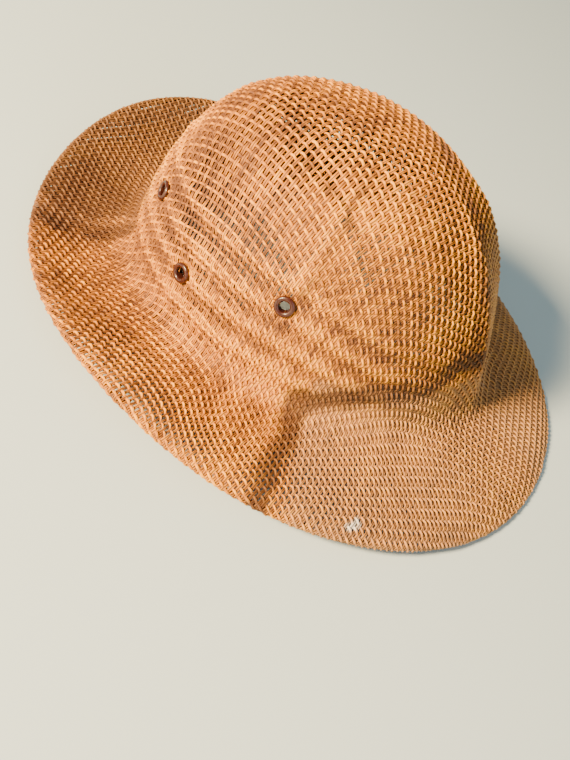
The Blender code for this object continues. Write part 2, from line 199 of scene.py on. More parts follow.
@dataclass(frozen=True)
class HatForm:
    """The outside of the hat as smooth functions of bearing and height."""

    crown_height: float = 113.4 * MM  # over the crown's foot
    wall_power: float = 0.67  # how full the crown's wall is
    rise_power: float = 1.35  # how flat the crown's top is
    top_forward: float = 14.4 * MM  # how far the top leans to the front
    corner: float = 13.0 * MM  # rise and run of the soft corner between crown and brim
    edge_roll_width: float = 12.0 * MM  # stretch of the brim that bends down at its edge
    edge_roll_drop: float = 2.2 * MM  # depth of that bend
    bead_radius: float = 2.3 * MM  # of the rolled edge
    crease_sharpness: float = 1.4  # how steep the sides of the brim's creases are
    crease_skew: float = 0.8  # how far their deepest place lies towards the crown
    fold_count: int = 4  # pressed folds
    fold_first: float = 18.0 * MM  # height of the lowest fold's crest
    fold_pitch: float = 14.7 * MM  # from crest to crest
    fold_relief: float = 1.5 * MM  # how far the crests stand out
    fold_sharpness: float = 1.5  # how narrow the crests are
    fold_back_drop: float = 24.1 * MM  # how far the folds sink at the back
    fold_back_share: float = 0.35  # share of their relief that is left at the back
    fold_sink: Range = (80.0, 80.0)  # range of the turn over which they sink
    fold_fade: Range = (120.0, 45.0)  # range over which their relief fades
    fold_root: Range = (5.0 * MM, 8.0 * MM)  # range of height where they begin
    ridge_root: Range = (-10.0 * MM, 14.0 * MM)  # where ridges are full, from the folds' top
    ridge_rounding: float = 0.01  # how round the ridges are on top
    ridge_close: float = 2.2  # how close to the apex they run
    dent_range: Range = (0.6, 0.2)  # range of the height where dents begin
    seat_radius: float = 6.0 * MM  # of the even patch round each eyelet
    pitch: float = 4.9  # turn about X of the hat at rest
    roll: float = -0.76  # turn about Y of the hat at rest
    move: tuple[float, float, float] = (-0.14 * MM, -2.18 * MM, 13.52 * MM)  # to its rest

    def section(self, column: str, bearing: Array) -> Array:
        """Smooth closed curve through one column of the sections.

        Args:
            column: Name of the column.
            bearing: Bearings.

        Returns:
            Values in metres.
        """
        rows = np.array([getattr(row, column) * MM for row in SECTIONS])
        count = len(rows)
        waves = np.fft.fft(rows) / count
        phi = np.radians(bearing)
        value = np.full(np.shape(phi), waves[0].real)
        for k in range(1, count // 2):
            wave = waves[k].real * np.cos(k * phi) - waves[k].imag * np.sin(k * phi)
            value = value + 2.0 * wave
        return value + waves[count // 2].real * np.cos(count // 2 * phi)

    def fold_drop(self, bearing: Array) -> Array:
        """How far the folds have sunk towards the back."""
        return self.fold_back_drop * rise(from_front(bearing), *self.fold_sink)

    def fold_top(self, bearing: Array) -> Array:
        """Height of the folds' upper edge over the foot."""
        top = self.fold_first + (self.fold_count - 0.5) * self.fold_pitch
        return top - self.fold_drop(bearing)

    def ridge_relief(self, bearing: Array, height: Array) -> Array:
        """Relief of the creases between the crown's panels.

        Args:
            bearing: Bearings.
            height: Heights over the foot.

        Returns:
            Reliefs.
        """
        above_folds = rise(height - self.fold_top(bearing), *self.ridge_root)
        relief = 0.0
        for ridge in RIDGES:
            off = turn_between(bearing, ridge.bearing) / ridge.width
            off = np.sqrt(off * off + self.ridge_rounding) - math.sqrt(self.ridge_rounding)
            strength = ridge.foot_share + (1.0 - ridge.foot_share) * above_folds
            relief = relief + ridge.relief * strength * np.exp(-off)
        below_apex = np.sqrt(np.clip(1.0 - height / self.crown_height, 0.0, 1.0))
        return relief * np.minimum(1.0, self.ridge_close * below_apex)

    def fold_height(self, bearing: Array, height: Array) -> Array:
        """Crest of the folds, before their relief.

        Args:
            bearing: Bearings.
            height: Heights over the foot.

        Returns:
            1 on a crest and 0 in a trough or off the folds.
        """
        lap = (height + self.fold_drop(bearing) - self.fold_first) / self.fold_pitch
        crest = (0.5 + 0.5 * np.cos(2.0 * np.pi * lap)) ** self.fold_sharpness
        return np.where((lap > -0.5) & (lap < self.fold_count - 0.5), crest, 0.0)

    def fold_relief_at(self, bearing: Array, height: Array) -> Array:
        """Relief of the pressed folds, which leaves the eyelets' seats even.

        Args:
            bearing: Bearings.
            height: Heights over the foot.

        Returns:
            Reliefs.
        """
        strength = rise(height - self.section("foot", bearing), *self.fold_root)
        fade = rise(from_front(bearing), *self.fold_fade)
        strength = strength * (1.0 - (1.0 - self.fold_back_share) * fade)
        for seat in SEATS:
            turn = np.radians(turn_between(bearing, seat.bearing))
            away = np.hypot(turn * self.section("crown", seat.bearing), height - seat.height)
            strength = strength * rise(away, self.seat_radius, self.seat_radius)
        return self.fold_relief * strength * self.fold_height(bearing, height)

    def dent_depth(self, x: Array, y: Array, share: Array) -> Array:
        """Depth of the dents in the top of the crown.

        Args:
            x: Places.
            y: Places.
            share: Heights as a share of the crown's.

        Returns:
            Depths.
        """
        depth = 0.0
        for dent in DENTS:
            turn = math.radians(dent.turn)
            along = (x - dent.x) * math.cos(turn) + (y - dent.y) * math.sin(turn)
            across = (y - dent.y) * math.cos(turn) - (x - dent.x) * math.sin(turn)
            away = -(along / dent.run) ** 2 - (across / dent.spread) ** 2
            depth = depth + dent.depth * np.exp(away)
        return depth * rise(share, *self.dent_range)

    def crown_point(self, bearing: Array, height: Array, relief: float) -> Array:
        """Point on the crown.

        Args:
            bearing: Bearings.
            height: Heights over the foot.
            relief: Share of the folds' relief.

        Returns:
            Points, with a last axis of 3.
        """
        share = np.clip(height / self.crown_height, 0.0, 1.0)
        lift = np.arcsin(share ** (1.0 / self.rise_power))
        radius = self.section("crown", bearing) * np.cos(lift) ** self.wall_power
        radius = radius + self.ridge_relief(bearing, height)
        radius = radius + relief * self.fold_relief_at(bearing, height)
        phi = np.radians(bearing)
        x = radius * np.cos(phi)
        y = radius * np.sin(phi) - self.top_forward * share
        return np.stack(np.broadcast_arrays(x, y, height - self.dent_depth(x, y, share)), -1)

    def brim_width(self, bearing: Array) -> Array:
        """Width of the brim from the crown's foot to the middle of the rolled edge."""
        return self.section("reach", bearing) - self.bead_radius - self.section("crown", bearing)

    def brim_point(self, bearing: Array, share: Array) -> Array:
        """Point on the brim's upper side.

        Args:
            bearing: Bearings.
            share: 0 at the crown's foot, 1 on top of the rolled edge.

        Returns:
            Points, with a last axis of 3.
        """
        width = self.brim_width(bearing)
        foot = self.section("foot", bearing)
        height = foot + (self.section("height", bearing) - foot) * share
        height = height - self.section("dish", bearing) * 4.0 * share * (1.0 - share)
        roll = np.clip(1.0 - (1.0 - share) * width / self.edge_roll_width, 0.0, 1.0)
        height = height + self.edge_roll_drop * (share - roll * roll)
        run = np.sin(np.pi * share ** self.crease_skew)
        for crease in CREASES:
            off = np.abs(turn_between(bearing, crease.bearing) / crease.width)
            height = height - crease.depth * np.exp(-off ** self.crease_sharpness) * run
        return place_at(bearing, self.section("crown", bearing) + width * share, height)

    def corner_root(self, bearing: Array) -> Array:
        """Share of the brim at which the soft corner ends."""
        return self.corner / self.brim_width(bearing)

    def corner_point(self, bearing: Array, share: Array) -> Array:
        """Point on the soft corner.

        Args:
            bearing: Bearings.
            share: 0 on the crown's wall, 1 on the brim.

        Returns:
            Points, with a last axis of 3.
        """
        foot = self.section("foot", bearing)
        start = self.crown_point(bearing, foot + self.corner, 1.0)
        middle = self.crown_point(bearing, foot, 1.0)
        end = self.brim_point(bearing, self.corner_root(bearing))
        share = share[..., None]
        left = 1.0 - share
        return left ** 2 * start + 2.0 * share * left * middle + share ** 2 * end

    def turn(self) -> Matrix:
        """Turn of the crown's own frame when the hat is at rest."""
        pitch = Matrix.Rotation(math.radians(self.pitch), 3, "X")
        return Matrix.Rotation(math.radians(self.roll), 3, "Y") @ pitch

    def rest(self, points: Array) -> Array:
        """Bring points from the crown's own frame to the frame of the hat at rest."""
        return np.asarray(points) @ np.array(self.turn()).T + np.array(self.move)


@dataclass
class ClothSurface:
    """Tables of the hat's surface over bearing and distance from the apex."""

    form: HatForm
    columns: int = 240  # bearings
    step: float = 1.0 * MM  # from row to row
    rows: int = 320
    depth: float = 0.95 * MM  # of the cloth's middle under its outside
    spare: float = 90.0 * MM  # plain brim past the edge, for the net while it settles
    crown_rows: int = 130  # rows on the crown before the table is read at even distances
    crown_crowding: float = 1.2  # how much closer these lie near the apex
    corner_rows: int = 16
    brim_rows: int = 70
    spare_rows: int = 12
    edge_rows: int = 34
    edge_end: float = -165.0  # where the cloth ends round the rolled edge, from level
    apex_rows: int = 3  # rows that face straight up
    evening: int = 2  # rounds of evening out the outward directions
    plain: Array = field(init=False)
    middle: Array = field(init=False)
    normal: Array = field(init=False)
    end: Array = field(init=False)
    rim: Array = field(init=False)

    def build(self) -> None:
        """Work out the tables."""
        form = self.form
        bearing = np.arange(self.columns) * 360.0 / self.columns
        every = np.zeros(self.columns)
        low = (form.section("foot", bearing) + form.corner) / form.crown_height
        low = np.arcsin(low ** (1.0 / form.rise_power))
        share = np.linspace(0.0, 1.0, self.crown_rows)[:, None] ** self.crown_crowding
        lift = math.pi / 2.0 + (low - math.pi / 2.0) * share
        height = form.crown_height * np.sin(lift) ** form.rise_power
        corner = np.linspace(0.0, 1.0, self.corner_rows)[1:, None] + every
        root = form.corner_root(bearing)
        brim = root + (1.0 - root) * np.linspace(0.0, 1.0, self.brim_rows)[1:, None]
        tail = (form.corner_point(bearing, corner), form.brim_point(bearing, brim))
        smooth, formed = (
            np.concatenate((form.crown_point(bearing, height, relief),) + tail)
            for relief in (0.0, 1.0)
        )
        run = np.linalg.norm(np.diff(smooth, axis=0), axis=-1)
        distance = np.concatenate((every[None], np.cumsum(run, axis=0)))
        self.rim = distance[-1]
        beyond = np.linspace(0.0, self.spare, self.spare_rows)[1:, None] + every
        level = smooth[-1] + unit(smooth[-1] - smooth[-4]) * beyond[..., None]
        self.plain = self.resample(np.concatenate((smooth, level)),
                                   np.concatenate((distance, self.rim + beyond)))
        edge, past = self.rolled_edge(bearing)
        self.end = self.rim + past[-1]
        outside = self.resample(np.concatenate((formed, edge)),
                                np.concatenate((distance, self.rim + past)))
        self.normal = self.outward(outside)
        self.middle = outside - self.depth * self.normal

    def rolled_edge(self, bearing: Array) -> tuple[Array, Array]:
        """Rows round the rolled edge, from the top of the brim to its underside.

        Args:
            bearing: Bearings of the columns.

        Returns:
            Points and their distances past the rim, by row and column.
        """
        form = self.form
        round_radius = form.bead_radius
        angle = np.radians(np.linspace(90.0, self.edge_end, self.edge_rows))[1:, None]
        radius = form.section("reach", bearing) - round_radius + round_radius * np.cos(angle)
        level = form.section("height", bearing) + round_radius * (np.sin(angle) - 1.0)
        past = round_radius * (math.pi / 2.0 - angle) + np.zeros(self.columns)
        return place_at(bearing, radius, level), past

    def outward(self, outside: Array) -> Array:
        """Outward directions of the surface, evened out from column to column.

        Args:
            outside: Table of the hat's outside.

        Returns:
            Table of unit vectors.
        """
        along = np.roll(outside, -1, axis=1) - np.roll(outside, 1, axis=1)
        normal = unit(-np.cross(along, np.gradient(outside, axis=0)))
        last = np.floor(self.end / self.step).astype(int) - 1
        for k in range(self.columns):
            normal[last[k]:, k] = normal[last[k] - 1, k]
        normal[:self.apex_rows] = np.array((0.0, 0.0, 1.0))
        for _ in range(self.evening):
            normal = (np.roll(normal, 1, 1) + 2.0 * normal + np.roll(normal, -1, 1)) / 4.0
        return unit(normal)

    def resample(self, points: Array, distance: Array) -> Array:
        """Read each column at even distances from the apex.

        Args:
            points: Rows by columns by 3.
            distance: Distance from the apex of each row and column.

        Returns:
            The table, rows by columns by 3.
        """
        even = np.arange(self.rows) * self.step
        table = np.empty((self.rows, self.columns, 3))
        for k in range(self.columns):
            for axis in range(3):
                table[:, k, axis] = np.interp(even, distance[:, k], points[:, k, axis])
        return table

    def columns_at(self, flat: Array) -> tuple[Array, Array, Array]:
        """Columns on both sides of places on the flat map.

        Args:
            flat: Places, with a last axis of 2. Their radius is the distance from the apex.

        Returns:
            Column before, column after, and how far past the first the place lies.
        """
        column = bearing_of(flat[..., 0], flat[..., 1]) % 360.0 / 360.0 * self.columns
        before = column.astype(int) % self.columns
        return before, (before + 1) % self.columns, column - np.floor(column)

    def read(self, table: Array, flat: Array) -> Array:
        """Read a table at places on the flat map.

        Args:
            table: Rows by columns by 3.
            flat: Places, with a last axis of 2.

        Returns:
            Values at the places.
        """
        row = np.hypot(flat[..., 0], flat[..., 1]) / self.step
        above = np.clip(row.astype(int), 0, self.rows - 2)
        down = np.clip(row - above, 0.0, 1.0)[..., None]
        before, after, turn = self.columns_at(flat)
        turn = turn[..., None]
        upper = table[above, before] * (1.0 - turn) + table[above, after] * turn
        lower = table[above + 1, before] * (1.0 - turn) + table[above + 1, after] * turn
        return upper * (1.0 - down) + lower * down

    def around(self, values: Array, flat: Array) -> Array:
        """Read a value per column at places on the flat map."""
        before, after, turn = self.columns_at(flat)
        return values[before] * (1.0 - turn) + values[after] * turn


# Crossings of the net at which its neighbouring stretches start and end.
ALL = slice(None)
FIRST = slice(None, -1)
LAST = slice(1, None)
CELL_SIDES = (((FIRST, ALL), (LAST, ALL)), ((ALL, FIRST), (ALL, LAST)))
CELL_DIAGONALS = (((FIRST, FIRST), (LAST, LAST)), ((FIRST, LAST), (LAST, FIRST)))


@dataclass
class ClothNet:
    """Crossings of the cloth's two sets of strands, settled over the hat."""

    surface: ClothSurface
    warp_bearing: float = 57.0  # direction of the warp strands on top of the crown
    weft_bearing: float = 153.0  # direction of the weft strands there
    warp_pitch: float = 4.3 * MM  # from warp strand to warp strand
    weft_pitch: float = 3.05 * MM  # from weft strand to weft strand
    brim_share: float = 0.95  # share of these pitches that is left on the brim
    brim_range: Range = (-60.0 * MM, 25.0 * MM)  # where that begins, from the rim
    warp_half: int = 64  # strands of warp each side of the apex
    weft_half: int = 92  # strands of weft each side of the apex
    shear: float = 0.1  # stiffness against a change of the strands' angle
    straighten: float = 0.9  # stiffness against a bend of a strand
    ease: float = 0.42  # share of each move that is taken
    longest: float = 0.25  # longest move, as a share of a cell
    probe: float = 1.0 * MM  # step over which the surface's slope is read
    margin: float = 2.0 * MM  # width of spare brim that the net stays clear of
    passes: tuple[tuple[int, int], ...] = ((4, 1500), (2, 250), (1, 70))  # cell and rounds
    flat: Array = field(init=False)

    def settle(self) -> None:
        """Let the net settle, first coarsely and then finely."""
        warp_run, weft_run = (
            np.array((math.cos(math.radians(bearing)), math.sin(math.radians(bearing))))
            for bearing in (self.warp_bearing, self.weft_bearing)
        )
        coarse = self.passes[0][0]
        i = np.arange(-self.warp_half, self.warp_half + 1, coarse)[:, None, None]
        j = np.arange(-self.weft_half, self.weft_half + 1, coarse)[None, :, None]
        flat = i * self.warp_pitch * weft_run + j * self.weft_pitch * warp_run
        for cell, rounds in self.passes:
            if cell != coarse:
                flat = self.finer(self.finer(flat, 0), 1)
            flat = self.relax(flat, cell, rounds)
        self.flat = flat

    @staticmethod
    def finer(flat: Array, axis: int) -> Array:
        """Put a crossing half way between each two.

        Args:
            flat: Crossings on the flat map.
            axis: The axis to refine.

        Returns:
            The refined crossings.
        """
        rows = np.moveaxis(flat, axis, 0)
        fine = np.empty((2 * len(rows) - 1,) + rows.shape[1:])
        fine[::2] = rows
        fine[1::2] = 0.5 * (rows[1:] + rows[:-1])
        fine[3:-3:2] = (9.0 * (rows[1:-2] + rows[2:-1]) - rows[:-3] - rows[3:]) / 16.0
        return np.moveaxis(fine, 0, axis)

    def relax(self, flat: Array, cell: int, rounds: int) -> Array:
        """Pull every stretch of strand towards its own length.

        Args:
            flat: Crossings on the flat map.
            cell: Strands per cell.
            rounds: Number of rounds.

        Returns:
            The settled crossings.
        """
        surface = self.surface
        diagonal = math.hypot(self.warp_pitch, self.weft_pitch) * cell
        limit = self.longest * self.weft_pitch * cell
        apex = (flat.shape[0] // 2, flat.shape[1] // 2)
        for _ in range(rounds):
            place = surface.read(surface.plain, flat)
            across, upward = (
                surface.read(surface.plain, flat + np.array(step)) - place
                for step in ((self.probe, 0.0), (0.0, self.probe))
            )
            past_rim = np.hypot(flat[..., 0], flat[..., 1]) - surface.around(surface.rim, flat)
            share = 1.0 - (1.0 - self.brim_share) * rise(past_rim, *self.brim_range)
            pull = np.zeros_like(place)
            for (near, far), pitch in zip(CELL_SIDES, (self.warp_pitch, self.weft_pitch)):
                own = share * pitch * cell
                self.add_pull(pull, place, 0.5 * (own[far] + own[near]), near, far)
            slanted = np.zeros_like(place)
            for near, far in CELL_DIAGONALS:
                self.add_pull(slanted, place, (share * diagonal)[near], near, far)
            pull = pull + self.shear * slanted
            pull = pull + self.straighten * (self.bend(place, 0) + self.bend(place, 1))
            # The pull within the surface, as a move on the flat map.
            e = (across * across).sum(-1)
            f = (across * upward).sum(-1)
            g = (upward * upward).sum(-1)
            a = (pull * across).sum(-1)
            b = (pull * upward).sum(-1)
            size = np.maximum(e * g - f * f, TINY_AREA)
            move = np.stack(((g * a - f * b) / size, (e * b - f * a) / size), -1) * self.probe
            move[apex] = 0.0
            length = np.linalg.norm(move, axis=-1, keepdims=True)
            flat = flat + self.ease * move * np.minimum(1.0, limit / np.maximum(length, TINY))
            radius = np.linalg.norm(flat, axis=-1, keepdims=True)
            furthest = surface.around(surface.rim, flat)[..., None] + surface.spare - self.margin
            flat = flat * np.minimum(1.0, furthest / np.maximum(radius, TINY))
        return flat

    @staticmethod
    def bend(place: Array, axis: int) -> Array:
        """Pull that straightens the strands along one axis.

        Args:
            place: Crossings in space.
            axis: 0 across the warp strands, 1 along them.

        Returns:
            The pulls.
        """
        rows = np.moveaxis(place, axis, 0)
        curve = np.zeros_like(rows)
        curve[1:-1] = 0.5 * (rows[2:] + rows[:-2]) - rows[1:-1]
        pull = curve.copy()
        pull[1:-1] -= 0.5 * (curve[2:] + curve[:-2])
        return np.moveaxis(pull, 0, axis)

    @staticmethod
    def add_pull(pull: Array, place: Array, wanted: Array,
                 near: tuple[slice, slice], far: tuple[slice, slice]) -> None:
        """Add the pull of the stretches between neighbouring crossings.

        Args:
            pull: Sum of the pulls, changed in place.
            place: Crossings in space.
            wanted: Own length of each stretch.
            near: The crossings at which the stretches start.
            far: The crossings at which they end.
        """
        edge = place[far] - place[near]
        length = np.linalg.norm(edge, axis=-1, keepdims=True)
        tug = 0.5 * edge * (1.0 - wanted[..., None] / np.maximum(length, TINY))
        pull[near] += tug
        pull[far] -= tug


class Strand(Enum):
    """The two sets of strands of the cloth."""

    WARP = "warp"
    WEFT = "weft"


@dataclass(frozen=True)
class StrandShape:
    """Form of one set of strands."""

    strand: Strand
    outline: tuple[tuple[float, float], ...]  # corners of the section, across and outwards
    lift: float  # how far the strand rises and sinks at the crossings
    steps: int  # steps of the mesh from crossing to crossing
    uneven: float  # share by which the strand's thickness varies
    stray: float  # how far a strand lies off its place
    tight: float  # share by which it widens where the weave is close
    pinch: float  # share by which it narrows where the weave is open
    pieces: int  # pieces that the set is split into


WARP_CORD = StrandShape(
    strand=Strand.WARP,
    outline=tuple(
        (0.76 * MM * math.sin(math.radians(turn)), 0.90 * MM * math.cos(math.radians(turn)))
        for turn in (270, 330, 30, 90, 150, 210)
    ),
    lift=0.80 * MM,
    steps=3,
    uneven=0.10,
    stray=0.24 * MM,
    tight=0.14,
    pinch=0.10,
    pieces=3,
)

WEFT_PAIR = StrandShape(
    strand=Strand.WEFT,
    outline=(
        (-1.08 * MM, 0.0),
        (-0.62 * MM, 0.56 * MM),
        (0.0, 0.10 * MM),
        (0.62 * MM, 0.56 * MM),
        (1.08 * MM, 0.0),
        (0.62 * MM, -0.56 * MM),
        (0.0, -0.10 * MM),
        (-0.62 * MM, -0.56 * MM),
    ),
    lift=0.36 * MM,
    steps=2,
    uneven=0.10,
    stray=0.18 * MM,
    tight=0.17,
    pinch=0.36,
    pieces=3,
)


@dataclass(frozen=True)
class Mark:
    """A stained, bleached, wet, open or close patch, a change of tone, or painted light or shade,
    along a line on the hat.
    """

    line: tuple[tuple[float, float, float], ...]  # places in the crown's frame, in millimetres
    strength: float  # on the line
    near: float  # width in millimetres
    far: float | None = None  # width on the side that it points towards, where that differs
    towards: tuple[float, float, float] = (0.0, 0.0, 1.0)

    def amount(self, places: Array) -> Array:
        """Strength of the mark at places.

        Args:
            places: Places in the crown's own frame.

        Returns:
            Strengths.
        """
        points = np.array(self.line) * MM
        best = np.full(len(places), np.inf)
        side = np.zeros(len(places))
        for start, end in zip(points, points[1:] if len(points) > 1 else points):
            run = end - start
            share = np.clip((places - start) @ run / max(run @ run, TINY), 0.0, 1.0)
            off = places - start - share[:, None] * run
            away = np.linalg.norm(off, axis=-1)
            closer = away < best
            best = np.where(closer, away, best)
            side = np.where(closer, off @ np.array(self.towards), side)
        far = self.near if self.far is None else self.far
        width = np.where(side > 0.0, far, self.near) * MM
        return self.strength * np.exp(-(best / width) ** MARK_EDGE)


# Tide marks of sweat and water, and painted shade along the crown's creases, in the back brim's
# crease and over the front brim turned from the light.
STAIN_AND_SHADE_MARKS = (
    Mark(line=((90, 14, 6), (86, 24, 12), (82, 34, 15), (80, 41, 19), (76, 48, 22), (68, 60, 22)),
         strength=1.2, near=5.0, far=6.0),
    Mark(line=((68, 60, 22), (60, 71, 23), (54, 75, 28), (49, 77.5, 32), (43, 81, 36), (31, 91, 31),
               (18, 96, 29)), strength=1.15, near=5.2, far=6.5),
    Mark(line=((84, 34, 15), (60, 72, 24), (31, 91, 33)), strength=0.25, near=2.0, far=14.0),
    Mark(line=((90, 14, 6), (99, 15, 0), (108, 17, -1), (118, 17, -1), (128, 16, -2), (142, 15, -2),
               (151, 16, -5)), strength=1.05, near=4.0, far=8.0, towards=(0.0, -1.0, 0.0)),
    # Painted shade on the face past a crown crease, turned from the light.
    Mark(line=((-1, 24, 110), (17, 50, 98), (22, 60, 88), (28, 74, 67), (33, 78, 56), (36, 81, 47)),
         strength=0.45, near=1.0, far=10.0, towards=(-0.8, 0.6, 0.0)),
    Mark(line=((49, -151, 7), (45, -138, 2), (37, -129, -1), (33, -119, -2), (28, -113, -1),
               (25, -107, 3)), strength=1.0, near=2.4, far=8.0, towards=(-1.0, 0.2, 0.3)),
    Mark(line=((35, -146, 7), (25, -128, 2), (10, -116, 1)),
         strength=0.5, near=1.5, far=26.0, towards=(-1.0, 0.2, 0.3)),
    # Partly a stain and partly painted shade over the front brim, which is turned from the light.
    Mark(line=((0, -146, 9), (-40, -146, 13), (-85, -128, 16)), strength=0.8, near=42.0),
    # Painted shade in the soft crease of the back brim.
    Mark(line=((46, 97, -2), (55, 102, -4), (70, 102, -6)), strength=0.45, near=1.5, far=4.0),
    Mark(line=((5, -133, 1),), strength=0.6, near=4.0),
    # Painted shade in a crease across the crown's top.
    Mark(line=((35, -39, 105), (54, -8, 96), (66, 18, 73)), strength=0.7, near=1.4),
    # Painted shade on the side of a crown crease turned from the light.
    Mark(line=((13, -5, 111), (51, -6, 98), (76.5, -9, 58)),
         strength=0.7, near=0.9, far=2.8, towards=(0.0, 1.0, 0.0)),
    Mark(line=((-20.6, 69.7, 79.1),), strength=1.2, near=1.5),
)

PALE_MARKS = (
    Mark(line=((131, 63, -8), (136, 60, -8)), strength=1.0, near=2.6),
    Mark(line=((40, -152, 9), (43, -155, 8)), strength=0.8, near=2.2),
)

# Partly wet straw and partly painted shade: the front brim, turned from the light, made greyer.
WASHED_AND_SHADE_MARKS = (
    Mark(line=((0, -150, 9), (-40, -148, 13), (-85, -128, 16)), strength=0.75, near=42.0),
)

OPEN_MARKS = (
    Mark(line=((105, -82, 5), (123, -54, 5), (135, -23, 3)), strength=1.0, near=12.0),
    Mark(line=((3, 35, 106), (29.5, 52, 89), (45, 60, 65), (32, 84, 46)), strength=0.5, near=15.0),
    Mark(line=((11.5, -48, 110), (19, -26, 112), (12, 8, 112)), strength=0.7, near=16.0),
    Mark(line=((38, -76, 78), (49, -78, 60), (61, -68, 47), (76, -50, 29)), strength=0.5, near=6.5),
    Mark(line=((57, -51, 79), (74, -20, 64)), strength=0.6, near=5.0),
    Mark(line=((35, -39, 105), (54, -8, 96), (66, 18, 73)), strength=0.6, near=2.5),
    Mark(line=((130, 14, -2), (128, 45, -5), (93, 73, -4), (97, 95, -9)), strength=0.4, near=16.0),
    Mark(line=((2, 73, 74), (25, 84, 55)), strength=0.25, near=12.0),
)

# Painted light and shade: changes of tone that stand in for how light falls on the hat.
PAINTED_LIGHT_MARKS = (
    # Painted highlights along the lit side of two crown creases.
    Mark(line=((13, -7, 111), (51, -9, 98), (76, -12, 58)),
         strength=0.60, near=2.8, far=0.9, towards=(0.0, 1.0, 0.0)),
    Mark(line=((-1, 22, 110), (16, 47, 98), (22, 58, 88), (29, 71, 67), (34, 75, 56)),
         strength=0.45, near=2.4, far=1.0, towards=(-0.6, 0.8, 0.0)),
    # Painted light over patches of crown and brim, and painted shade where the strength is below 0.
    Mark(line=((54, -30, 92),), strength=0.18, near=26.0),
    Mark(line=((84, 42, 10), (68, 72, 9), (50, 88, 12)), strength=0.40, near=7.0),
    Mark(line=((88, -22, 14), (90, 4, 10)), strength=0.25, near=12.0),
    Mark(line=((26, -74, 92), (36, -84, 62), (30, -98, 24)), strength=-0.18, near=38.0),
    Mark(line=((58, -128, 5), (96, -102, 5)), strength=-0.30, near=34.0),
)

CLOSE_MARKS = (
    Mark(line=((86, -19, 21), (88, 14, 14), (82, 32, 30)), strength=0.7, near=20.0),
    Mark(line=((-77, -133, 16), (-20, -145, 12), (10, -146, 9), (30, -130, 3)),
         strength=1.2, near=42.0),
    Mark(line=((42, -60, 88), (62, -38, 75)), strength=0.5, near=10.0),
    Mark(line=((62, -14, 88), (70, 8, 74), (62, 26, 82)), strength=0.55, near=24.0),
    Mark(line=((78, 8, 55), (70, 34, 50)), strength=0.35, near=22.0),
    Mark(line=((66, -62, 30), (76, -52, 34)), strength=0.3, near=14.0),
)


def total(marks: tuple[Mark, ...], places: Array) -> Array:
    """Strength of several marks together."""
    return sum(mark.amount(places) for mark in marks)


def drift(places: Array, lengths: tuple[float, ...], seed: int) -> Array:
    """Soft uneven values over the hat, as a sum of waves.

    Args:
        places: Places in the crown's own frame.
        lengths: Lengths of the waves.
        seed: Seed of their directions.

    Returns:
        Values of about -1 to 1.
    """
    rng = np.random.default_rng(seed)
    value = np.zeros(len(places))
    for length in lengths:
        for _ in range(WAVES):
            run = rng.normal(size=3)
            run = run / np.linalg.norm(run) * 2.0 * np.pi / length
            value = value + np.sin(places @ run + rng.uniform(0.0, 2.0 * np.pi))
    return value / math.sqrt(1.5 * WAVES * len(lengths))


def noise_along(rng: np.random.Generator, length: int, knot: float) -> Array:
    """Soft random values along a strand.

    Args:
        rng: Source of random numbers.
        length: Number of values.
        knot: Distance between the random knots, in values.

    Returns:
        Values of about -1 to 1.
    """
    count = int(length / knot) + 3
    knots = rng.uniform(-1.0, 1.0, count)
    return np.interp(np.arange(length) / knot, np.arange(count), knots)


def fine_line(nodes: Array, steps: int) -> Array:
    """Smooth curve through the nodes of a strand.

    Args:
        nodes: Nodes, with a last axis of 2.
        steps: Steps from node to node.

    Returns:
        Points of the curve.
    """
    before = np.concatenate((2.0 * nodes[:1] - nodes[1:2], nodes[:-2]))
    after = np.concatenate((nodes[2:], 2.0 * nodes[-1:] - nodes[-2:-1]))
    t = (np.arange(steps) / steps)[None, :, None]
    a, b, c, d = (part[:, None, :] for part in (before, nodes[:-1], nodes[1:], after))
    cubic = t * (3.0 * (b - c) + d - a)
    curve = b + 0.5 * t * (c - a + t * (2.0 * a - 5.0 * b + 4.0 * c - d + cubic))
    return np.concatenate((curve.reshape(-1, 2), nodes[-1:]))


def add_object(name: str, data: bpy.types.ID) -> bpy.types.Object:
    """Make an object of its data and put it in the scene.

    Args:
        name: Name of the object.
        data: Mesh, light or camera.

    Returns:
        The object.
    """
    made = bpy.data.objects.new(name, data)
    bpy.context.scene.collection.objects.link(made)
    return made


def add_by(operator: Callable, **settings: object) -> bpy.types.Object:
    """Add an object by an operator, with everything deselected first.

    Args:
        operator: The operator.
        settings: What it is told.

    Returns:
        The object.
    """
    bpy.ops.object.select_all(action="DESELECT")
    operator(**settings)
    return bpy.context.view_layer.objects.active


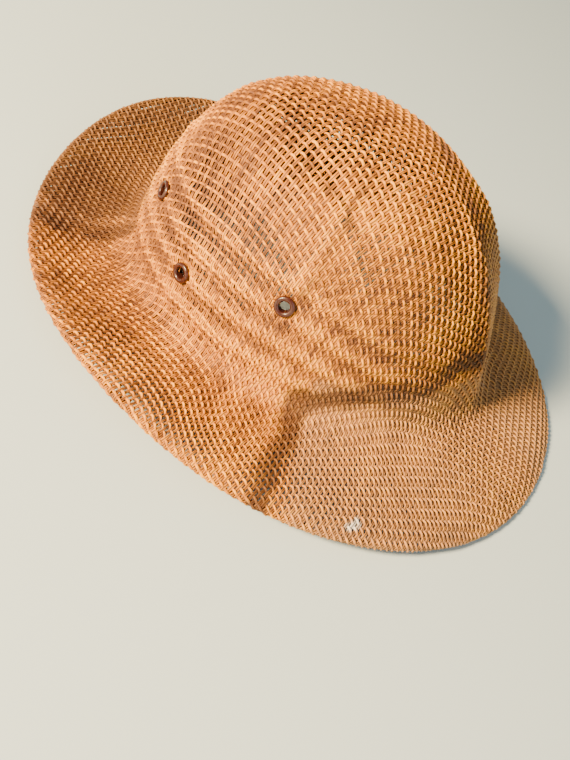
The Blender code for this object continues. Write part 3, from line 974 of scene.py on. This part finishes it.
@dataclass
class StrandPiece:
    """Strands gathered into one mesh."""

    name: str
    sides: int  # corners of a strand's section
    rings: list[Array] = field(default_factory=list)
    lengths: list[Array] = field(default_factory=list)
    looks: list[dict[str, Array]] = field(default_factory=list)

    def add(self, rings: Array, looks: dict[str, Array]) -> None:
        """Add one stretch of strand.

        Args:
            rings: Rings by corners by 3.
            looks: Values per ring, by attribute.
        """
        run = np.linalg.norm(np.diff(rings.mean(1), axis=0), axis=-1)
        self.rings.append(rings)
        self.lengths.append(np.concatenate(((0.0,), np.cumsum(run))))
        self.looks.append(looks)

    def triangles(self) -> int:
        """Number of triangles, with those of the strands' ends."""
        return sum(2 * self.sides * len(rings) - 4 for rings in self.rings)

    def build(self, material: bpy.types.Material) -> bpy.types.Object:
        """Make the mesh and its object.

        Args:
            material: Finish of the strands.

        Returns:
            The object.
        """
        sides = self.sides
        corners = np.arange(sides)
        following = (corners + 1) % sides
        quads = []
        caps = []
        start = 0
        for rings in self.rings:
            ring = start + sides * np.arange(len(rings) - 1)[:, None]
            upper = ring + sides
            faces = (ring + corners, ring + following, upper + following, upper + corners)
            quads.append(np.stack(faces, -1).reshape(-1, 4))
            caps.append(start + corners[::-1])
            start += sides * len(rings)
            caps.append(start - sides + corners)
        quads = np.concatenate(quads)
        loops = np.concatenate((quads.ravel(), np.array(caps).ravel()))
        starts = np.concatenate((4 * np.arange(len(quads)),
                                 4 * len(quads) + sides * np.arange(len(caps))))
        points = np.concatenate([rings.reshape(-1, 3) for rings in self.rings])
        mesh = bpy.data.meshes.new(self.name)
        mesh.vertices.add(len(points))
        mesh.vertices.foreach_set("co", points.astype(np.float32).ravel())
        mesh.loops.add(len(loops))
        mesh.loops.foreach_set("vertex_index", loops.astype(np.int32))
        mesh.polygons.add(len(starts))
        mesh.polygons.foreach_set("loop_start", starts.astype(np.int32))
        mesh.update(calc_edges=True)
        mesh.polygons.foreach_set("use_smooth", np.ones(len(starts), dtype=bool))
        for key in self.looks[0]:
            values = np.concatenate([np.repeat(looks[key], sides) for looks in self.looks])
            layer = mesh.attributes.new(key, "FLOAT", "POINT")
            layer.data.foreach_set("value", values.astype(np.float32))
        along = np.concatenate([np.repeat(lengths, sides) for lengths in self.lengths])
        around = np.tile(corners / sides, len(points) // sides)
        strand = np.stack((along, around), -1)[loops]
        wraps = quads[:, 0] % sides == sides - 1
        strand[:4 * len(quads)].reshape(-1, 4, 2)[wraps, 1:3, 1] += 1.0
        strand = strand * np.array((1.0 / UV_LENGTH, 1.0))
        layer = mesh.uv_layers.new(name="strand")
        layer.uv.foreach_set("vector", strand.astype(np.float32).ravel())
        mesh.materials.append(material)
        mesh.validate()
        return add_object(self.name, mesh)


@dataclass
class StrawCloth:
    """The hat's cloth, woven of single warp cords and paired weft cords."""

    form: HatForm
    net: ClothNet
    shapes: tuple[StrandShape, ...] = (WARP_CORD, WEFT_PAIR)
    seed: int = 7  # of the uneven strands
    hole: float = 3.3 * MM  # radius that is left clear of straw in each eyelet
    hem: Range = (-5.0 * MM, 6.0 * MM)  # range of the hem, from the rim
    hem_press: float = 0.6  # share of the strands' rise and fall that is pressed flat there
    seat: Range = (5.6 * MM, 3.0 * MM)  # range round an eyelet's pressed seat
    seat_press: float = 0.5  # share that is pressed flat there
    seat_sink: float = 0.45 * MM  # how far the straw is pressed in there
    stray_knots: tuple[float, float] = (9.0, 2.0)  # long one in crossings, short one in steps
    stray_short: float = 0.5  # how far the short one goes, to the long one
    size_knots: float = 5.0  # crossings over which the thickness varies
    size_strand: float = 0.8  # how much it varies from strand to strand, to that
    spread_limits: tuple[float, float] = (0.8, 1.7)  # least and most that a strand widens
    openness: float = 0.15  # how open the weave is on average, from 0 to 1
    open_drift: float = 0.20  # how much that varies over the hat
    open_waves: tuple[float, ...] = (46.0 * MM, 27.0 * MM, 15.0 * MM)
    closest: float = -0.4  # openness where the strands touch
    fold_openness: float = 0.42  # how much closer crests are woven than troughs
    fold_light_and_shade: float = 0.6  # how much lighter the crests and darker the troughs are: painted light and shade on the folds
    fold_mean: float = 0.45  # height at which a fold has the cloth's own look
    fold_upper: float = 4.0 * MM  # how far down from their upper edge the folds begin to show
    fold_foot: Range = (8.0 * MM, 6.0 * MM)  # range of height where they begin
    fold_shown: Range = (110.0, 35.0)  # range of the turn over which they fade
    tone: float = 0.62  # tone of the straw
    tone_strand: float = 0.18  # how much it varies from strand to strand
    tone_waver: tuple[tuple[float, float], ...] = ((0.2, 14.0), (0.26, 1.5))  # amount, crossings
    tone_drift: float = 0.10  # how much it varies over the hat
    tone_waves: tuple[float, ...] = (60.0 * MM, 34.0 * MM, 18.0 * MM)
    crossing_light_and_shade: float = 0.32  # how much lighter a strand is on top of a crossing, and darker where it dips under: painted light and shade
    tone_lowering: float = 0.22  # how much every strand's tone is lowered, so that the painted light and shade at the crossings is mostly painted shade
    wander: float = 1.3 * MM  # how far the edges of the stains wander
    wander_waves: tuple[float, ...] = (24.0 * MM, 11.0 * MM)
    pale_gain: float = 2.2  # how sharply a bleached patch begins
    pale_cut: float = 0.5  # strength below which nothing shows
    pale_waver: tuple[float, float, float] = (0.75, 0.5, 1.5)  # mean, amount, crossings
    # Wet straw at the back, partly painted grey for the look of its shade.
    washed_shade_low: Range = (18.0 * MM, 10.0 * MM)  # range of its height on the brim
    washed_shade_share: float = 0.8  # strength there
    washed_shade_start: Range = (8.0, 5.0)  # range of bearing there
    washed_shade_back: Range = (72.0, 8.0)  # range of bearing on the crown
    washed_shade_top: Range = (70.0 * MM, 22.0 * MM)  # range of height on the crown
    washed_shade_end: tuple[float, float] = (175.0, 20.0)  # last bearing of both, and fade before it
    pieces: list[bpy.types.Object] = field(default_factory=list)

    def build(self, material: bpy.types.Material) -> None:
        """Weave the cloth.

        Args:
            material: Finish of the straw.
        """
        rng = np.random.default_rng(self.seed)
        surface = self.net.surface
        flat = self.net.flat
        inside = np.hypot(flat[..., 0], flat[..., 1]) < surface.around(surface.end, flat)
        for shape in self.shapes:
            axis = 0 if shape.strand is Strand.WARP else 1
            spread = self.spread(axis)
            lines = np.moveaxis(flat, axis, 0)
            within = np.moveaxis(inside, axis, 0)
            cells = np.cumsum(within.sum(1)) / within.sum()
            gathered = [
                StrandPiece(f"straw_{shape.strand.value}_{number + 1}", len(shape.outline))
                for number in range(shape.pieces)
            ]
            for index in range(len(lines)):
                if within[index].sum() < 2:
                    continue
                piece = gathered[min(int(cells[index] * shape.pieces), shape.pieces - 1)]
                self.add_strand(piece, shape, index, lines[index], spread[index], rng)
            for piece in gathered:
                LOG.info("%s: %d triangles", piece.name, piece.triangles())
                self.pieces.append(piece.build(material))

    def spread(self, axis: int) -> Array:
        """How far apart the strands of one set lie.

        Args:
            axis: 0 for the warp strands, 1 for the weft strands.

        Returns:
            Distance from strand to strand over the set's own pitch, by strand and crossing.
        """
        net = self.net
        place = net.surface.read(net.surface.plain, net.flat)
        across = np.gradient(place, axis=axis)
        along = np.gradient(place, axis=1 - axis)
        length = np.maximum(np.linalg.norm(along, axis=-1), TINY)
        apart = np.linalg.norm(np.cross(across, along), axis=-1) / length
        return np.moveaxis(apart / (net.warp_pitch, net.weft_pitch)[axis], axis, 0)

    def add_strand(self, piece: StrandPiece, shape: StrandShape, index: int, nodes: Array,
                   spread: Array, rng: np.random.Generator) -> None:
        """Lay one strand over and under the strands that it crosses.

        Args:
            piece: The piece that takes it.
            shape: Form of the strand.
            index: Number of the strand.
            nodes: Its crossings on the flat map.
            spread: How far it lies from its neighbours at each crossing.
            rng: Source of random numbers.
        """
        surface = self.net.surface
        line = fine_line(nodes, shape.steps)
        count = len(line)
        place = surface.read(surface.middle, line)
        normal = surface.read(surface.normal, line)
        distance = np.hypot(line[:, 0], line[:, 1])
        kept = distance < surface.around(surface.end, line)
        hem = rise(distance - surface.around(surface.rim, line), *self.hem)
        press = 1.0 - self.hem_press * hem
        sink = np.zeros(count)
        for seat in SEATS:
            centre = self.form.crown_point(np.float64(seat.bearing), np.float64(seat.height), 0.0)
            away = np.linalg.norm(place - centre, axis=-1)
            kept &= away > self.hole
            near = 1.0 - rise(away, *self.seat)
            press = press * (1.0 - self.seat_press * near)
            sink = sink + self.seat_sink * near
        side = unit(np.cross(normal, np.gradient(place, axis=0)))
        over = 1.0 if shape.strand is Strand.WARP else -1.0
        top = over * np.cos(np.pi * (np.arange(count) / shape.steps + index))
        lift = shape.lift * top * press - sink
        long_knot, short_knot = self.stray_knots
        slack = noise_along(rng, count, long_knot * shape.steps)
        slack = shape.stray * (slack + self.stray_short * noise_along(rng, count, short_knot))
        centre = place + lift[:, None] * normal + slack[:, None] * side
        run = unit(np.gradient(centre, axis=0))
        side = unit(np.cross(normal, run))
        out = np.cross(run, side)
        size = 1.0 + self.size_strand * shape.uneven * rng.uniform(-1.0, 1.0)
        size = size + shape.uneven * noise_along(rng, count, self.size_knots * shape.steps)
        gaps = self.gaps(place) * (1.0 - hem)
        width = size * (1.0 + shape.tight - (shape.tight + shape.pinch) * gaps)
        apart = np.interp(np.arange(count) / shape.steps, np.arange(len(nodes)), spread)
        width = width * np.clip(apart, *self.spread_limits)
        outline = np.array(shape.outline)
        rings = (centre[:, None, :]
                 + width[:, None, None] * outline[None, :, :1] * side[:, None, :]
                 + size[:, None, None] * outline[None, :, 1:] * out[:, None, :])
        rings = self.form.rest(rings)
        rings[..., 2] = np.maximum(rings[..., 2], 0.0)
        looks = self.looks(place, rng, shape)
        # Painted light on top of each crossing and painted shade where the strand dips under, with
        # every tone lowered.
        looks["tone"] = np.clip(looks["tone"] + self.crossing_light_and_shade * top - self.tone_lowering, 0.0, 1.0)
        for first, last in self.stretches(kept):
            piece.add(rings[first:last], {key: part[first:last] for key, part in looks.items()})

    def folded(self, place: Array) -> tuple[Array, Array]:
        """Where places lie in the pressed folds.

        Args:
            place: Places in the crown's own frame.

        Returns:
            Above 0 on a crest and below 0 in a trough, and how far the place is in the folds.
        """
        form = self.form
        height = place[:, 2]
        lean = form.top_forward * height / form.crown_height
        bearing = bearing_of(place[:, 0], place[:, 1] + lean)
        below = rise(form.fold_top(bearing) - height, 0.0, self.fold_upper)
        above = rise(height, *self.fold_foot)
        shown = 1.0 - rise(from_front(bearing), *self.fold_shown)
        return form.fold_height(bearing, height) - self.fold_mean, below * above * shown

    def gaps(self, place: Array) -> Array:
        """How open the weave is.

        Args:
            place: Places in the crown's own frame.

        Returns:
            Below 0 where the strands touch, 0 where they lie close, 1 where the gaps are widest.
        """
        value = self.openness + self.open_drift * drift(place, self.open_waves, self.seed)
        value = value + total(OPEN_MARKS, place)
        value = value - total(CLOSE_MARKS, place)
        crest, share = self.folded(place)
        value = value - self.fold_openness * crest * share
        return np.clip(value, self.closest, 1.0)

    def looks(self, place: Array, rng: np.random.Generator,
              shape: StrandShape) -> dict[str, Array]:
        """Tone and marks along a strand, with painted light and shade in the tone, the stains and
        the wet straw.

        Args:
            place: Places in the crown's own frame.
            rng: Source of random numbers.
            shape: Form of the strand.

        Returns:
            Values by attribute.
        """
        count = len(place)
        tone = self.tone + self.tone_strand * rng.uniform(-1.0, 1.0)
        for amount, crossings in self.tone_waver:
            tone = tone + amount * noise_along(rng, count, crossings * shape.steps)
        tone = tone + self.tone_drift * drift(place, self.tone_waves, self.seed + 1)
        crest, share = self.folded(place)
        # Painted light on the folds' crests and painted shade in their troughs.
        tone = tone + self.fold_light_and_shade * crest * share
        # Painted light and shade from the marks.
        tone = tone + total(PAINTED_LIGHT_MARKS, place)
        wander = np.stack([drift(place, self.wander_waves, self.seed + 2 + axis)
                           for axis in range(3)], -1)
        mean, amount, crossings = self.pale_waver
        patchy = mean + amount * noise_along(rng, count, crossings * shape.steps)
        pale = self.pale_gain * total(PALE_MARKS, place) * patchy - self.pale_cut
        return {
            "tone": np.clip(tone, 0.0, 1.0),
            # Tide marks, with painted shade in creases and over the front brim.
            "stain": np.clip(total(STAIN_AND_SHADE_MARKS, place + self.wander * wander), 0.0, 1.0),
            "pale": np.clip(pale, 0.0, 1.0),
            # Wet straw, partly painted grey for the look of shade.
            "washed": self.washed(place),
            "pair": np.full(count, float(shape.strand is Strand.WEFT)),
        }

    def washed(self, place: Array) -> Array:
        """Where the straw has been wet, and is painted greyer for the look of shade: the back of
        the brim and of the crown, and some marks.

        Args:
            place: Places in the crown's own frame.

        Returns:
            Strengths.
        """
        bearing = bearing_of(place[:, 0], place[:, 1])
        end, fade = self.washed_shade_end
        before_end = rise(end - bearing, 0.0, fade)
        brim = 1.0 - rise(place[:, 2], *self.washed_shade_low)
        brim = brim * rise(bearing, *self.washed_shade_start) * before_end
        crown = rise(bearing, *self.washed_shade_back) * before_end
        crown = crown * (1.0 - rise(place[:, 2], *self.washed_shade_top))
        return np.maximum(np.maximum(self.washed_shade_share * brim, crown), total(WASHED_AND_SHADE_MARKS, place))

    @staticmethod
    def stretches(kept: Array) -> list[tuple[int, int]]:
        """First place and place past the last of each stretch of three kept places or more."""
        edges = np.flatnonzero(np.diff(np.concatenate(((0,), kept.astype(int), (0,)))))
        return [(int(a), int(b)) for a, b in zip(edges[::2], edges[1::2]) if b - a > 2]

    def dress(self) -> None:
        """Hang the pieces on the frame."""
        for piece in self.pieces:
            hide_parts("hat_body")
            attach(piece, "root")


@dataclass
class EyeletSet:
    """The six domed eyelets."""

    form: HatForm
    lip: float = 4.05 * MM  # radius of the middle of the rolled lip
    roll: float = 1.32 * MM  # radius of the lip's roll
    crown: float = 0.85  # height of that roll as a share of its width
    bore: float = 2.75 * MM  # radius
    sheet: float = 0.45 * MM  # thickness
    barrel: float = 3.4 * MM  # depth
    clinch: float = 3.7 * MM  # radius of the middle of the inner rim
    clinch_roll: float = 0.85 * MM  # radius of that rim's roll
    clinch_crown: float = 0.7  # height of that roll as a share of its width
    clinch_depth: float = 0.9  # share of the barrel's depth at which it lies
    barrel_depth: float = 0.45  # the same for the barrel's middle
    segments: tuple[int, int] = (40, 14)  # round the bore and round a roll
    smooth_below: float = 50.0  # edges of less than this are shaded smooth
    reach: tuple[float, float] = (2.0, 3.0 * MM)  # turn and height that a seat's slope is read at
    pieces: list[bpy.types.Object] = field(default_factory=list)

    def build(self, material: bpy.types.Material) -> None:
        """Make each eyelet at its seat.

        Args:
            material: Finish of the enamel.
        """
        for seat in SEATS:
            centre, outward = self.seat_frame(seat)
            turn = Vector((0.0, 0.0, 1.0)).rotation_difference(outward).to_euler()
            inner = centre - outward * self.barrel * self.clinch_depth
            middle = centre - outward * self.barrel * self.barrel_depth
            parts = [
                self.ring(centre, turn, self.lip, self.roll, self.crown),
                self.ring(inner, turn, self.clinch, self.clinch_roll, self.clinch_crown),
                self.tube(middle, turn),
            ]
            bpy.ops.object.select_all(action="DESELECT")
            for part in parts:
                part.select_set(True)
            bpy.context.view_layer.objects.active = parts[0]
            bpy.ops.object.join()
            piece = bpy.context.view_layer.objects.active
            bpy.ops.object.transform_apply(location=True, rotation=True, scale=True)
            piece.name = f"{seat.name}_enamel"
            piece.data.materials.clear()
            piece.data.materials.append(material)
            bpy.ops.object.shade_smooth_by_angle(angle=math.radians(self.smooth_below))
            LOG.info("%s: %d faces", piece.name, len(piece.data.polygons))
            self.pieces.append(piece)

    def seat_frame(self, seat: Seat) -> tuple[Vector, Vector]:
        """Centre and outward direction of a seat, at rest.

        Args:
            seat: The seat.

        Returns:
            Centre and direction.
        """
        form = self.form
        bearing = np.float64(seat.bearing)
        height = np.float64(seat.height)
        turn, step = self.reach
        along = (form.crown_point(bearing + turn, height, 0.0)
                 - form.crown_point(bearing - turn, height, 0.0))
        upward = (form.crown_point(bearing, height + step, 0.0)
                  - form.crown_point(bearing, height - step, 0.0))
        outward = Vector(np.cross(along, upward)).normalized()
        centre = form.rest(form.crown_point(bearing, height, 0.0))
        return Vector(centre), form.turn() @ outward

    def ring(self, centre: Vector, turn: Euler, radius: float, roll: float,
             flatten: float) -> bpy.types.Object:
        """Rolled ring about a seat's axis.

        Args:
            centre: Middle of the ring.
            turn: Turn of the ring.
            radius: Radius of the roll's middle.
            roll: Radius of the roll.
            flatten: Height of the roll as a share of its width.

        Returns:
            The ring.
        """
        major, minor = self.segments
        ring = add_by(bpy.ops.mesh.primitive_torus_add, location=centre, rotation=turn,
                      major_radius=radius, minor_radius=roll, major_segments=major,
                      minor_segments=minor)
        bpy.ops.object.mode_set(mode="EDIT")
        bpy.ops.mesh.select_all(action="SELECT")
        bpy.ops.transform.resize(value=(1.0, 1.0, flatten), orient_type="LOCAL",
                                 center_override=centre)
        bpy.ops.object.mode_set(mode="OBJECT")
        return ring

    def tube(self, centre: Vector, turn: Euler) -> bpy.types.Object:
        """Barrel of an eyelet.

        Args:
            centre: Middle of the barrel.
            turn: Turn of the barrel.

        Returns:
            The barrel.
        """
        tube = add_by(bpy.ops.mesh.primitive_cylinder_add, location=centre, rotation=turn,
                      radius=self.bore + self.sheet, depth=self.barrel,
                      vertices=self.segments[0], end_fill_type="NOTHING")
        wall = tube.modifiers.new("wall", "SOLIDIFY")
        wall.thickness = self.sheet
        wall.offset = -1.0
        bpy.ops.object.modifier_apply(modifier=wall.name)
        return tube

    def dress(self) -> None:
        """Hang the pieces on the frame."""
        for seat, piece in zip(SEATS, self.pieces):
            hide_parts(seat.name)
            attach(piece, "root")


def linear(code: str) -> Colour:
    """Turn an sRGB colour code to linear light.

    Args:
        code: Six hexadecimal digits.

    Returns:
        Red, green, blue and 1.
    """
    parts = [int(code[k:k + 2], 16) / 255.0 for k in (0, 2, 4)]
    red, green, blue = (
        c / 12.92 if c <= 0.04045 else ((c + 0.055) / 1.055) ** 2.4 for c in parts
    )
    return red, green, blue, 1.0


def add_node(tree: Tree, kind: str, *values: Socket | float, links: dict | None = None,
             output: int | str = 0, **settings: object) -> Socket:
    """Add a node to a material.

    Args:
        tree: The material's nodes.
        kind: Type of the node, without the words that every type starts with.
        values: What the inputs take in their order: a socket to link, or a value.
        links: The same for inputs by name or number.
        output: The output that is wanted.
        settings: Settings of the node.

    Returns:
        The output.
    """
    node = tree.nodes.new(f"ShaderNode{kind}")
    for key, value in settings.items():
        setattr(node, key, value)
    for key, value in (*enumerate(values), *(links or {}).items()):
        if isinstance(value, Socket):
            tree.links.new(value, node.inputs[key])
        else:
            node.inputs[key].default_value = value
    return node.outputs[output]


def new_material(name: str) -> tuple[bpy.types.Material, Tree, bpy.types.NodeInputs]:
    """Make a material with its shader.

    Args:
        name: Name of the material.

    Returns:
        Material, nodes and the shader's inputs.
    """
    material = bpy.data.materials.new(name)
    material.use_nodes = True
    tree = material.node_tree
    return material, tree, tree.nodes["Principled BSDF"].inputs


@dataclass(frozen=True)
class StrawFinish:
    """Natural straw twisted into cord, aged and stained by sweat, with painted light and shade."""

    dark: str = "754a30"  # darkest strands
    middle: str = "d4862c"  # strands of middling tone
    light: str = "ffaf30"  # lightest strands
    middling: float = 0.6  # tone of the middling strands
    tide_and_shade: str = "5c3e2c"  # tide marks, and painted shade in creases and over the front brim
    soak: float = 0.85  # how much of the straw's colour a tide mark or painted shade mark covers
    washed: str = "c4996e"  # straw that has been wet, also painted greyer for the look of shade
    wash: float = 0.6  # how much of the straw's colour that covers
    pale: str = "efe6da"  # bleached patches
    shade: str = "3a2414"  # painted shade between the cords, between neighbouring strands and on the side turned to the hollow
    groove: float = 0.85  # how much painted shade lies between the cords of a pair
    groove_range: tuple[float, float] = (0.03, 0.2)  # half turns from there over which it thins
    edge: float = 0.8  # how much painted shade lies along the edges, between neighbouring strands
    edge_range: tuple[float, float] = (0.34, 0.5)  # half turns over which that begins
    inside: float = 0.7  # how much painted shade covers the side turned to the hollow
    inside_range: tuple[float, float] = (0.5, 0.58)  # turns round the strand where that begins
    cloud: float = 22.0  # patches per metre, about 45 mm each
    cloud_tone: float = 0.18  # how much they change the tone
    cloud_soak: float = 0.25  # how much they change the tide marks and painted shade marks
    speck: float = 900.0  # specks per metre, about 1.1 mm each
    speck_tone: float = 0.15  # how much they change the tone
    roughness: float = 0.5  # of the fibres
    shine: float = 0.14  # of the fibres
    twist: float = 4.0  # turns of the fibres per 10 mm of cord
    fibres: float = 4.0  # fibres round a strand
    fibre_depth: float = 0.12 * MM

    def build(self) -> bpy.types.Material:
        """Make the material.

        Returns:
            The material.
        """
        # Natural straw: matt dry fibre twisted into cord, darker where it has soaked, with painted
        # light and shade in its tone and marks, and painted shade between the cords and on their
        # inner side.
        material, tree, shader = new_material("natural_straw")
        tone, stain, pale, washed, pair = (
            add_node(tree, "Attribute", output="Fac", attribute_name=name)
            for name in ("tone", "stain", "pale", "washed", "pair")
        )
        place = add_node(tree, "TexCoord", output="Object")
        cloud, speck = (
            add_node(tree, "TexNoise", links={"Vector": place, "Scale": scale, "Detail": detail})
            for scale, detail in ((self.cloud, 4.0), (self.speck, 2.0))
        )
        for noise, amount in ((cloud, self.cloud_tone), (speck, self.speck_tone)):
            off = add_node(tree, "MapRange", noise, *NOISE_RANGE, -amount, amount)
            tone = add_node(tree, "Math", tone, off, operation="ADD")
        soak = (1.0 - self.cloud_soak, 1.0 + self.cloud_soak)
        patchy = add_node(tree, "MapRange", cloud, *NOISE_RANGE, *soak)
        soaked_and_shade = add_node(tree, "Math", stain, patchy, operation="MULTIPLY")
        strand = add_node(tree, "UVMap", uv_map="strand")
        around = add_node(tree, "SeparateXYZ", strand, output=1)
        # Painted shade on the side of each strand turned to the hollow.
        inner = add_node(tree, "MapRange", around, *self.inside_range, 0.0, self.inside)
        for operation, *other in (("MULTIPLY", 2.0), ("FRACT",), ("SUBTRACT", 0.5), ("ABSOLUTE",)):
            around = add_node(tree, "Math", around, *other, operation=operation)
        # Painted shade in the groove of each pair and along every strand's edges.
        groove = add_node(tree, "MapRange", around, *self.groove_range, self.groove, 0.0)
        groove = add_node(tree, "Math", groove, pair, operation="MULTIPLY")
        edge = add_node(tree, "MapRange", around, *self.edge_range, 0.0, self.edge)
        colour = linear(self.dark)
        for share, code in (
            (add_node(tree, "MapRange", tone, 0.0, self.middling), self.middle),
            (add_node(tree, "MapRange", tone, self.middling, 1.0), self.light),
            # Wet straw, partly painted grey for the look of shade.
            (add_node(tree, "MapRange", washed, 0.0, 1.0, 0.0, self.wash), self.washed),
            # Tide marks, with painted shade in creases and over the front brim.
            (add_node(tree, "MapRange", soaked_and_shade, 0.0, 1.0, 0.0, self.soak), self.tide_and_shade),
            (pale, self.pale),
            # The last two mixes paint shade.
            (inner, self.shade),
            (add_node(tree, "Math", groove, edge, operation="MAXIMUM"), self.shade),
        ):
            links = {0: share, 6: colour, 7: linear(code)}
            colour = add_node(tree, "Mix", links=links, output=2, data_type="RGBA")
        tree.links.new(colour, shader["Base Color"])
        shader["Roughness"].default_value = self.roughness
        shader["Specular IOR Level"].default_value = self.shine
        scale = {"Scale": (self.twist, self.fibres, 1.0)}
        turned = add_node(tree, "Mapping", strand, links=scale)
        wave = {"Vector": turned, "Scale": 1.0, "Distortion": 1.5, "Detail": 2.0}
        fibre = add_node(tree, "TexWave", links=wave, output="Fac", bands_direction="DIAGONAL")
        bump = {"Height": fibre, "Strength": 0.5, "Distance": self.fibre_depth}
        tree.links.new(add_node(tree, "Bump", links=bump), shader["Normal"])
        return material


@dataclass(frozen=True)
class EnamelFinish:
    """Brown baked enamel on brass eyelets."""

    colour: str = "3a160e"  # enamel
    worn: str = "6e3a20"  # metal where the enamel has thinned
    wear: float = 600.0  # worn specks per metre, about 1.7 mm each
    wear_range: tuple[float, float] = (0.55, 0.75)  # how far the noise rises to show them
    wear_share: float = 0.5  # how much of the enamel's colour they cover
    roughness: tuple[float, float] = (0.24, 0.45)  # where it is whole, and where it is dusty
    coat: float = 0.3

    def build(self) -> bpy.types.Material:
        """Make the material.

        Returns:
            The material.
        """
        # Baked enamel: dark red-brown, glossy, a little worn and dusty.
        material, tree, shader = new_material("brown_enamel")
        place = add_node(tree, "TexCoord", output="Object")
        noise = {"Vector": place, "Scale": self.wear, "Detail": 3.0}
        wear = add_node(tree, "TexNoise", links=noise)
        share = add_node(tree, "MapRange", wear, *self.wear_range, 0.0, self.wear_share)
        links = {0: share, 6: linear(self.colour), 7: linear(self.worn)}
        colour = add_node(tree, "Mix", links=links, output=2, data_type="RGBA")
        tree.links.new(colour, shader["Base Color"])
        rough = add_node(tree, "MapRange", wear, *NOISE_RANGE, *self.roughness)
        tree.links.new(rough, shader["Roughness"])
        shader["Coat Weight"].default_value = self.coat
        return material


@dataclass(frozen=True)
class FloorFinish:
    """Plain pale painted floor."""

    colour: str = "d4e6ea"
    roughness: float = 0.85
    shine: float = 0.2

    def build(self) -> bpy.types.Material:
        """Make the material.

        Returns:
            The material.
        """
        # Matt paint: even and pale.
        material, _, shader = new_material("pale_paint")
        shader["Base Color"].default_value = linear(self.colour)
        shader["Roughness"].default_value = self.roughness
        shader["Specular IOR Level"].default_value = self.shine
        return material


@dataclass(frozen=True)
class ViewPoint:
    """Where the hat is seen from, in the crown's own frame."""

    azimuth: float = 86.2519  # bearing of the view
    elevation: float = 44.5263
    roll: float = 28.2050  # turn of the picture
    distance: float = 0.48738  # from the aim
    aim_height: float = 0.05  # height of the aim over the crown's foot
    shift_right: float = 0.0080617  # move of the camera to its right
    shift_up: float = -0.0863833  # move of the camera upwards, before the roll
    lens: float = 57.71  # focal length in millimetres
    sensor: float = 36.0  # width of the frame in millimetres
    clip: tuple[float, float] = (0.01, 100.0)  # nearest and furthest that it sees

    def build(self, form: HatForm) -> bpy.types.Object:
        """Make the camera.

        Args:
            form: The hat's form, which turns the view with the hat.

        Returns:
            The camera.
        """
        a, e, r = (math.radians(v) for v in (self.azimuth, self.elevation, self.roll))
        back = Vector((math.sin(a) * math.cos(e), -math.cos(a) * math.cos(e), math.sin(e)))
        right = Vector((math.cos(a), math.sin(a), 0.0))
        up = back.cross(right)
        place = Vector((0.0, 0.0, self.aim_height)) + right * self.shift_right + up * self.shift_up
        place = place + back * self.distance
        across = right * math.cos(r) + up * math.sin(r)
        upright = up * math.cos(r) - right * math.sin(r)
        turn = form.turn()
        pose = Matrix([turn @ axis for axis in (across, upright, back)]).transposed().to_4x4()
        pose.translation = Vector(form.rest(np.array(place)))
        data = bpy.data.cameras.new("camera")
        data.sensor_fit = "HORIZONTAL"
        data.sensor_width = self.sensor
        data.lens = self.lens
        data.clip_start, data.clip_end = self.clip
        camera = add_object("camera", data)
        camera.matrix_world = pose
        return camera


@dataclass(frozen=True)
class SoftLight:
    """A square soft light."""

    name: str
    place: tuple[float, float, float]  # where it stands
    size: float  # length of its side
    power: float  # in watts
    colour: str

    def build(self, aim: Vector) -> None:
        """Make the light.

        Args:
            aim: Where it points.
        """
        data = bpy.data.lights.new(self.name, "AREA")
        data.size = self.size
        data.energy = self.power
        data.color = linear(self.colour)[:3]
        light = add_object(self.name, data)
        light.location = self.place
        light.rotation_euler = (aim - light.location).to_track_quat("-Z", "Y").to_euler()


@dataclass
class Studio:
    """Floor, light and camera."""

    floor_side: float = 14.0
    ambient: float = 0.32  # strength of the light from all round
    ambient_colour: str = "dce9e8"
    lights: tuple[SoftLight, ...] = (
        SoftLight("window", (1.0, -1.15, 0.98), size=0.36, power=156.0, colour="ffdfae"),
        SoftLight("fill", (1.5, 1.6, 1.2), size=1.6, power=20.0, colour="eef4f4"),
    )
    lit: tuple[float, float, float] = (0.0, 0.0, 0.06)  # where the lights point
    view: ViewPoint = ViewPoint()

    def build(self, form: HatForm) -> None:
        """Make the floor, the lights and the camera.

        Args:
            form: The hat's form.
        """
        floor = add_by(bpy.ops.mesh.primitive_plane_add, size=self.floor_side)
        floor.name = "floor"
        floor.data.materials.append(FloorFinish().build())
        for light in self.lights:
            light.build(Vector(self.lit))
        world = bpy.data.worlds.new("studio")
        world.use_nodes = True
        background = world.node_tree.nodes["Background"].inputs
        background["Color"].default_value = linear(self.ambient_colour)
        background["Strength"].default_value = self.ambient
        bpy.context.scene.world = world
        bpy.context.scene.camera = self.view.build(form)


def main() -> None:
    """Build the helmet's looks and the studio."""
    form = HatForm()
    surface = ClothSurface(form)
    surface.build()
    net = ClothNet(surface)
    net.settle()
    LOG.info("net settled")
    cloth = StrawCloth(form, net)
    cloth.build(StrawFinish().build())
    cloth.dress()
    eyelets = EyeletSet(form)
    eyelets.build(EnamelFinish().build())
    eyelets.dress()
    Studio().build(form)


if __name__ == "__main__":
    main()
